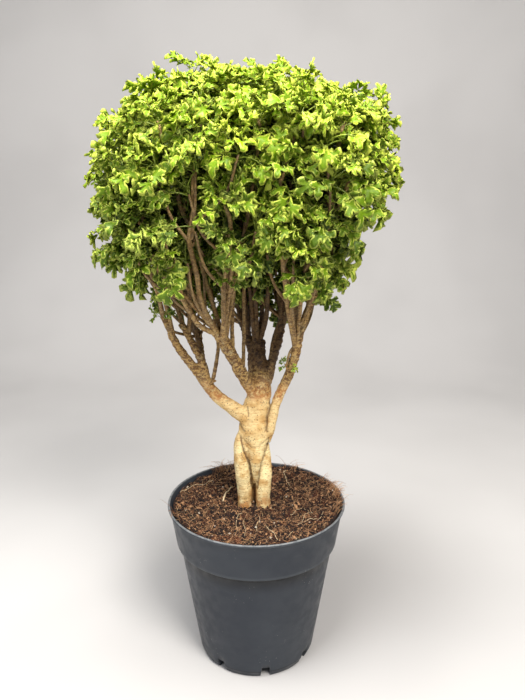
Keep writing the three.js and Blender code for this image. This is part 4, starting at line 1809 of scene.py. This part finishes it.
@dataclass
class Trunk:
    """The fused lower wood: legs, torso and limbs joined, smoothed, wrinkled and creased."""

    voxel: float = 0.9
    smoothing: int = 5
    sides: int = 20
    rings: int = 40
    age_heights: tuple = (289, 318)
    dark_and_shade_heights: tuple = (302, 326)
    knob_heights: tuple = (305, 322)
    creases: tuple = (
        ("left leg", 1.1, 1.7, 1.0,
         ((-16.6, 252), (-13.5, 242), (-10, 232), (-7, 222), (-5.4, 211), (-4.4, 196))),
        ("right leg", 1.0, 1.2, 0.8,
         ((13.6, 250), (11.3, 237), (7, 227), (4, 215), (1.8, 204), (0.3, 194))),
        ("gap", 1.9, 0.8, 1.0, ((-2.3, 196), (-2.4, 188), (-2.4, 174))),
        ("hips", 0.8, 0.8, 0.45,
         ((-17.6, 254), (-11.4, 247), (-5.3, 241), (2, 242.3), (8, 245.6), (16.4, 252))),
        ("right arm", 1.0, 1.3, 0.8, ((10.2, 257), (10.7, 270), (13.2, 281), (15.6, 289))),
        ("cut", 0.6, 0.8, 0.9, ((-9.2, 283), (-8.2, 278.5), (-7.7, 274.5))),
        ("armpit", 1.2, 1.0, 0.6, ((-19.5, 267), (-15, 261), (-13, 258))),
    )

    def rough(self, skeleton: Skeleton) -> bpy.types.Object:
        """Overlapping tubes along every path, knobbly by low noise on their radius.

        Args:
            skeleton: The paths.

        Returns:
            The tubes as one object.
        """
        shells = []
        paths = [*skeleton.legs, skeleton.torso, *skeleton.limbs.values()]
        for number, path in enumerate(paths):
            curve = spline(np.array(path, float)[None], self.rings)
            depth = skeleton.torso_depth if path is skeleton.torso else 1.0
            places = np.repeat(curve[0, :, :3], self.sides, axis=0)
            turn = np.tile(np.arange(self.sides) / self.sides * 2 * np.pi, self.rings)
            around = places + np.stack([np.cos(turn), np.sin(turn), np.zeros_like(turn)], axis=1) * 6
            swell = 1 + 0.07 * noise(around, 0.12, 60 + number)
            tube = tubes(
                curve[..., :3], curve[..., 3], self.sides, BACK, swell.reshape(1, self.rings, self.sides)
            )
            tube.points[:, 1] *= depth
            shells.append(tube)
        return mesh_object("fused_wood", shells, [])

    def build(self, skeleton: Skeleton) -> bpy.types.Object:
        """Joins the tubes on a voxel grid, smooths the joints and presses in the skin's relief.

        Args:
            skeleton: The paths.

        Returns:
            The piece.
        """
        piece = self.rough(skeleton)
        remesh = piece.modifiers.new("join", "REMESH")
        remesh.mode = "VOXEL"
        remesh.voxel_size = self.voxel * MM
        relax = piece.modifiers.new("relax", "SMOOTH")
        relax.factor = 0.5
        relax.iterations = self.smoothing
        graph = bpy.context.evaluated_depsgraph_get()
        joined = bpy.data.meshes.new_from_object(piece.evaluated_get(graph))
        piece.modifiers.clear()
        piece.data = joined
        self.skin(joined)
        joined.materials.clear()
        joined.materials.append(Bark().material())
        return dress(piece, Slot.BARK, "trunk")

    def pressed(self, co: np.ndarray) -> tuple[np.ndarray, np.ndarray]:
        """The creases on the front, seen along Y.

        Each is a line in x and z with a width w, a depth and a painted shade; a point at distance d from the
        line takes a share exp(-(d / w)^2) of its depth and painted shade.

        Args:
            co: (n, 3) points in mm.

        Returns:
            How far each point is pressed in, and how much painted shade darkens it.
        """
        flat = co[:, (0, 2)] + 0.5 * np.stack([noise(co, 0.3, 97), noise(co, 0.3, 98)], axis=1)
        depth, dark = np.zeros(len(co)), np.zeros(len(co))
        for _, width, deep, painted_shade, line in self.creases:
            knots = np.array(line, float)
            away = line_distance(flat, knots[:-1], knots[1:])
            share = np.exp(-((away / width) ** 2)) * (co[:, 1] < 6)
            depth = np.maximum(depth, deep * share)
            dark = np.maximum(dark, painted_shade * share)
        return depth, dark

    def skin(self, mesh: bpy.types.Mesh) -> None:
        """Moves each point along its normal and sets its age, its painted shade and its dark-bark values.

        The relief is level wrinkles (noise squeezed in height) and low lumps; age grows above the arms;
        painted shade darkens a point whose neighbours stand out further along its normal, and the pressed
        creases; the back of the upper middle is darker, partly as dark bark and partly as painted shade.

        Args:
            mesh: The joined wood.
        """
        count = len(mesh.vertices)
        co = np.empty(count * 3, np.float32)
        normal = np.empty(count * 3, np.float32)
        mesh.vertices.foreach_get("co", co)
        mesh.vertices.foreach_get("normal", normal)
        co = co.reshape(-1, 3).astype(float) / MM
        normal = normal.reshape(-1, 3).astype(float)
        age = smooth(co[:, 2] + 6 * noise(co, 0.1, 91), *self.age_heights)
        middle = np.abs(co[:, 0] - 3) < 26
        blotch = 5 * noise(co, 0.3, 96) + 8 * noise(co, 0.11, 99)
        # partly dark bark and partly painted shade: darker on the back of the upper middle
        soot = smooth(co[:, 2] + blotch, *self.dark_and_shade_heights) * np.where(middle, smooth(co[:, 1], -2, 9), 0)
        folds = noise(co, np.array([0.16, 0.16, 0.85]), 92)
        fine = noise(co, np.array([0.4, 0.4, 1.7]), 93)
        knobs = noise(co, 0.35, 94)
        push = 0.22 * folds + 0.12 * fine + (0.15 + 0.5 * age) * knobs
        push += 0.8 * smooth(co[:, 2], *self.knob_heights) * noise(co, 0.5, 95) * (co[:, 1] > 2)
        edges = np.empty(len(mesh.edges) * 2, np.int32)
        mesh.edges.foreach_get("vertices", edges)
        a, b = edges.reshape(-1, 2).T
        lean = np.einsum("ij,ij->i", co[b] - co[a], normal[a])
        back = np.einsum("ij,ij->i", co[a] - co[b], normal[b])
        cup = np.bincount(a, lean, count) + np.bincount(b, back, count)
        for _ in range(3):
            shared = np.bincount(a, cup[b], count) + np.bincount(b, cup[a], count)
            degree = np.bincount(a, minlength=count) + np.bincount(b, minlength=count)
            cup = 0.5 * cup + 0.5 * shared / np.maximum(degree, 1)
        depth, dark = self.pressed(co)
        push = push - depth * (normal[:, 1] < 0.3)
        # painted shade in hollows and along the pressed creases
        crease = np.maximum(smooth(cup, 0.18, 0.55), dark * (normal[:, 1] < 0.3))
        moved = (co + normal * push[:, None]) * MM
        mesh.vertices.foreach_set("co", moved.astype(np.float32).ravel())
        carry(mesh, {"age": age, "crease": crease, "soot": soot})
        mesh.polygons.foreach_set("use_smooth", np.ones(len(mesh.polygons), dtype=bool))
        mesh.update()


@dataclass
class Stems:
    """The thin woody stems from the limbs to the heads, ringed with old leaf scars."""

    sides: int = 8
    rings: int = 48
    scar_every: float = 7.0
    twig_drop: float = 58.0
    twig_radii: tuple = (1.7, 1.4, 1.1)
    slim: float = 0.88
    spurs: tuple = (
        ((-36, -40, 367, 3.4), (-48, -45, 372.5, 3.0), (-56, -48, 379, 2.7), (-61, -52, 390, 2.5),
         (-66, -57, 404, 2.3), (-69, -62, 420, 2.1), (-70, -68, 442, 1.9)),
        ((-29, -34, 352, 3.2), (-30.5, -42, 364, 3.2), (-29, -50, 384, 2.9), (-27.6, -58, 402, 2.7),
         (-27.5, -66, 417, 2.2), (-25, -74, 436, 1.8), (-24, -80, 462, 1.5)),
        ((-47, -6, 303, 2.4), (-43.5, -8, 318, 2.2), (-41, -6, 340, 2.0), (-41, -2, 356, 1.9),
         (-44, 4, 392, 1.7), (-50, 8, 420, 1.4)),
        ((-76, -14, 346, 3.5), (-84, -18, 363, 3.6), (-90, -20, 376, 3.0), (-93, -22, 389, 2.6),
         (-97, -24, 410, 2.1), (-103, -26, 440, 1.7)),
        ((33, -9, 316, 1.8), (31, -13, 323, 1.4), (29, -17, 331, 1.1)),
        ((-48, -9, 306, 1.9), (-43, -11, 311, 1.7), (-40, -12, 312, 0.9)),
        ((2, 24, 336, 3.4), (8, 24, 360, 3.0), (12, 20, 400, 2.6), (16, 8, 440, 2.2), (20, -20, 480, 1.8)),
        ((-1, 24, 334, 3.4), (-4, 24, 362, 2.8), (-8, 18, 402, 2.4), (-14, 4, 450, 2.0)),
        ((0, 28, 340, 3.2), (4, 34, 366, 2.8), (2, 40, 410, 2.4), (0, 46, 450, 2.0)),
        ((-8, 30, 342, 3.0), (-16, 34, 372, 2.6), (-26, 36, 410, 2.3), (-34, 36, 450, 1.9)),
        ((14, 12, 318, 3.0), (20, 20, 352, 2.6), (32, 30, 400, 2.2), (42, 36, 440, 1.9)),
        ((-24, -27, 343, 2.6), (-22, -24, 366, 2.2), (-20, -22, 400, 2.0), (-16, -28, 440, 1.7)),
        ((-14, -16, 320, 2.2), (-11, -10, 345, 2.0), (-12, -8, 380, 1.9), (-10, -14, 430, 1.6)),
    )

    def build(self, heads: list[Head], groups: list[list[Rosette]]) -> bpy.types.Object:
        """Every stem, spur and twig as one piece.

        A twig leaves its head's stem some way below the rosette that it carries and bends up into it.

        Args:
            heads: The heads with their stems.
            groups: Each head's rosettes.

        Returns:
            The piece.
        """
        paths = [head.stem for head in heads] + [np.array(spur, float) for spur in self.spurs]
        shells = [self.wood(spline(path[None], self.rings), number) for number, path in enumerate(paths)]
        twigs = []
        for head, group in zip(heads, groups):
            curve = spline(head.stem, 40)
            for rosette in group[1:]:
                foot = rosette.centre - rosette.axis * 8 * rosette.size
                aside = np.linalg.norm(curve[:, :2] - foot[:2], axis=1)
                off = np.abs(curve[:, 2] - (foot[2] - self.twig_drop)) + 0.4 * aside
                root = curve[int(np.argmin(off)), :3]
                bend = np.array([*mix(root[:2], foot[:2], 0.72), mix(root[2], foot[2], 0.45)])
                twigs.append([[*knot, radius] for knot, radius in zip((root, bend, foot), self.twig_radii)])
        curves = spline(np.array(twigs), 10)
        age = np.full(curves.shape[:2], 0.7)
        # the twigs half dark, partly painted shade inside the crown
        values = {"age": age, "crease": 0 * age, "soot": 0.5 + 0 * age}
        shells.append(tubes(curves[..., :3], curves[..., 3], 5, np.array([0.0, 1.0, 0.02]), values=values))
        return dress(mesh_object("stems", shells, [Bark().material()]), Slot.BARK, "trunk")

    def wood(self, curve: np.ndarray, number: int) -> Shell:
        """One stem: its radius swells at each scar ring and is uneven by noise.

        Args:
            curve: (1, n, 4) points with radii.
            number: Its number, for the draws.

        Returns:
            The tube, with age values, darker leaf-scar rings and painted shade towards the back.
        """
        centre, radius = curve[..., :3].copy(), curve[..., 3] * self.slim
        radius[:, -6:] *= np.linspace(1.0, 0.45, 6)
        wobble = np.stack([noise(centre[0], 0.035, first + number) for first in (200, 300)], axis=1)
        ends = np.sin(np.linspace(0, np.pi, self.rings))[:, None]
        centre[0, :, :2] += wobble * ends * 3.0
        step = np.linalg.norm(np.diff(centre[0], axis=0), axis=1)
        along = np.concatenate([[0], np.cumsum(step)])
        scars = np.abs(np.sin(np.pi * (along + number) / self.scar_every)) ** 8
        corner = np.tile(np.arange(self.sides), self.rings)[:, None]
        uneven = noise(np.repeat(centre[0], self.sides, axis=0) + corner, 0.3, 7)
        swell = 1 + 0.12 * scars[:, None] + 0.1 * uneven.reshape(self.rings, self.sides)
        age = 0.85 - 0.2 * smooth(along / along[-1], 0.4, 1.0)
        # painted shade: stems darker towards the back, inside the crown
        soot = smooth(centre[0, :, 1], -30, 30) * 0.9
        return tubes(
            centre, radius, self.sides, BACK, swell[None],
            {"age": age[None], "crease": 0.35 * scars[None], "soot": soot[None]},
        )


@dataclass
class Studio:
    """Pale seamless floor, soft lights and the camera at the photograph's angle."""

    eye: tuple = (6.6, -630.4, 503.5)
    pitch: float = 14.47
    focal_px: float = 640.0
    frame_px: float = 700.0
    sensor: float = 36.0
    floor_back: float = 900.0
    floor_reach: float = 2600.0
    floor_bend: float = 500.0
    floor_low: str = "bdbbbb"
    floor_high: str = "c3c1c1"
    world: str = "e4e6ea"
    world_strength: float = 0.29
    aim: float = 380.0
    lights: tuple = (
        ("key", (500, -950, 1400), 550, 27.0, "fffaf2"),
        ("fill", (-900, -900, 900), 800, 7.0, "f4f8ff"),
        ("top", (-150, -250, 1500), 600, 27.0, "fffdf6"),
    )

    def floor(self) -> None:
        """A level floor that curves up behind by a quarter circle and runs on upright, as one grid."""
        bend = self.floor_bend
        flat = np.array([[-self.floor_reach, 0.0], [self.floor_back, 0.0]])
        turn = np.linspace(0, math.pi / 2, 16)[1:]
        curve = np.stack([self.floor_back + bend * np.sin(turn), bend * (1 - np.cos(turn))], axis=1)
        upright = np.array([[self.floor_back + bend, self.floor_reach]])
        row = np.concatenate([flat, curve, upright])
        left = np.column_stack([np.full(len(row), -self.floor_reach), row])
        right = np.column_stack([np.full(len(row), self.floor_reach), row])
        i = np.arange(len(row) - 1)
        faces = np.stack([i, i + len(row), i + len(row) + 1, i + 1], axis=1)
        n = Nodes("pale_floor")
        tint = n.blend(n.steps(n.grain(3.0, 2.0), 0.35, 0.65), rgb(self.floor_low), rgb(self.floor_high))
        material = n.done(tint, 0.85)
        mesh_object("studio_floor", [Shell(np.concatenate([left, right]), [faces])], [material])

    def light(self, name: str, place: tuple, size: float, power: float, color: str) -> None:
        """A soft square light aimed at a height on the tree's axis.

        Args:
            name: Its name.
            place: Where it is, in mm.
            size: Its side in mm.
            power: Watts.
            color: Its screen colour.
        """
        data = bpy.data.lights.new(name, "AREA")
        data.shape = "SQUARE"
        data.size = size * MM
        data.energy = power
        data.color = rgb(color)[:3]
        lamp = bpy.data.objects.new(name, data)
        lamp.location = Vector(place) * MM
        ahead = Vector((0, 0, self.aim * MM)) - lamp.location
        lamp.rotation_euler = ahead.to_track_quat("-Z", "Y").to_euler()
        bpy.context.scene.collection.objects.link(lamp)

    def build(self) -> None:
        """Sets the stage."""
        self.floor()
        for row in self.lights:
            self.light(*row)
        world = bpy.data.worlds.new("studio")
        world.use_nodes = True
        world.node_tree.nodes["Background"].inputs["Color"].default_value = rgb(self.world)
        world.node_tree.nodes["Background"].inputs["Strength"].default_value = self.world_strength
        scene = bpy.context.scene
        scene.world = world
        scene.view_settings.view_transform = "Standard"
        data = bpy.data.cameras.new("camera")
        data.sensor_width = self.sensor
        data.lens = self.focal_px / self.frame_px * self.sensor
        camera = bpy.data.objects.new("camera", data)
        camera.location = Vector(self.eye) * MM
        camera.rotation_euler = (math.radians(90 - self.pitch), 0, 0)
        scene.collection.objects.link(camera)
        scene.camera = camera


def main() -> None:
    """Builds the pot, soil, wood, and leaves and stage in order."""
    logging.basicConfig(level=logging.INFO, format="%(message)s")
    skeleton = Skeleton()
    crown = Crown()
    heads = crown.heads(skeleton)
    pot = Pot()
    pot.build()
    Soil(pot).build()
    Trunk().build(skeleton)
    foliage = Foliage(crown, skeleton)
    groups = foliage.rosettes(heads)
    Stems().build(heads, groups)
    foliage.build(heads, groups)
    Studio().build()


if __name__ == "__main__":
    main()
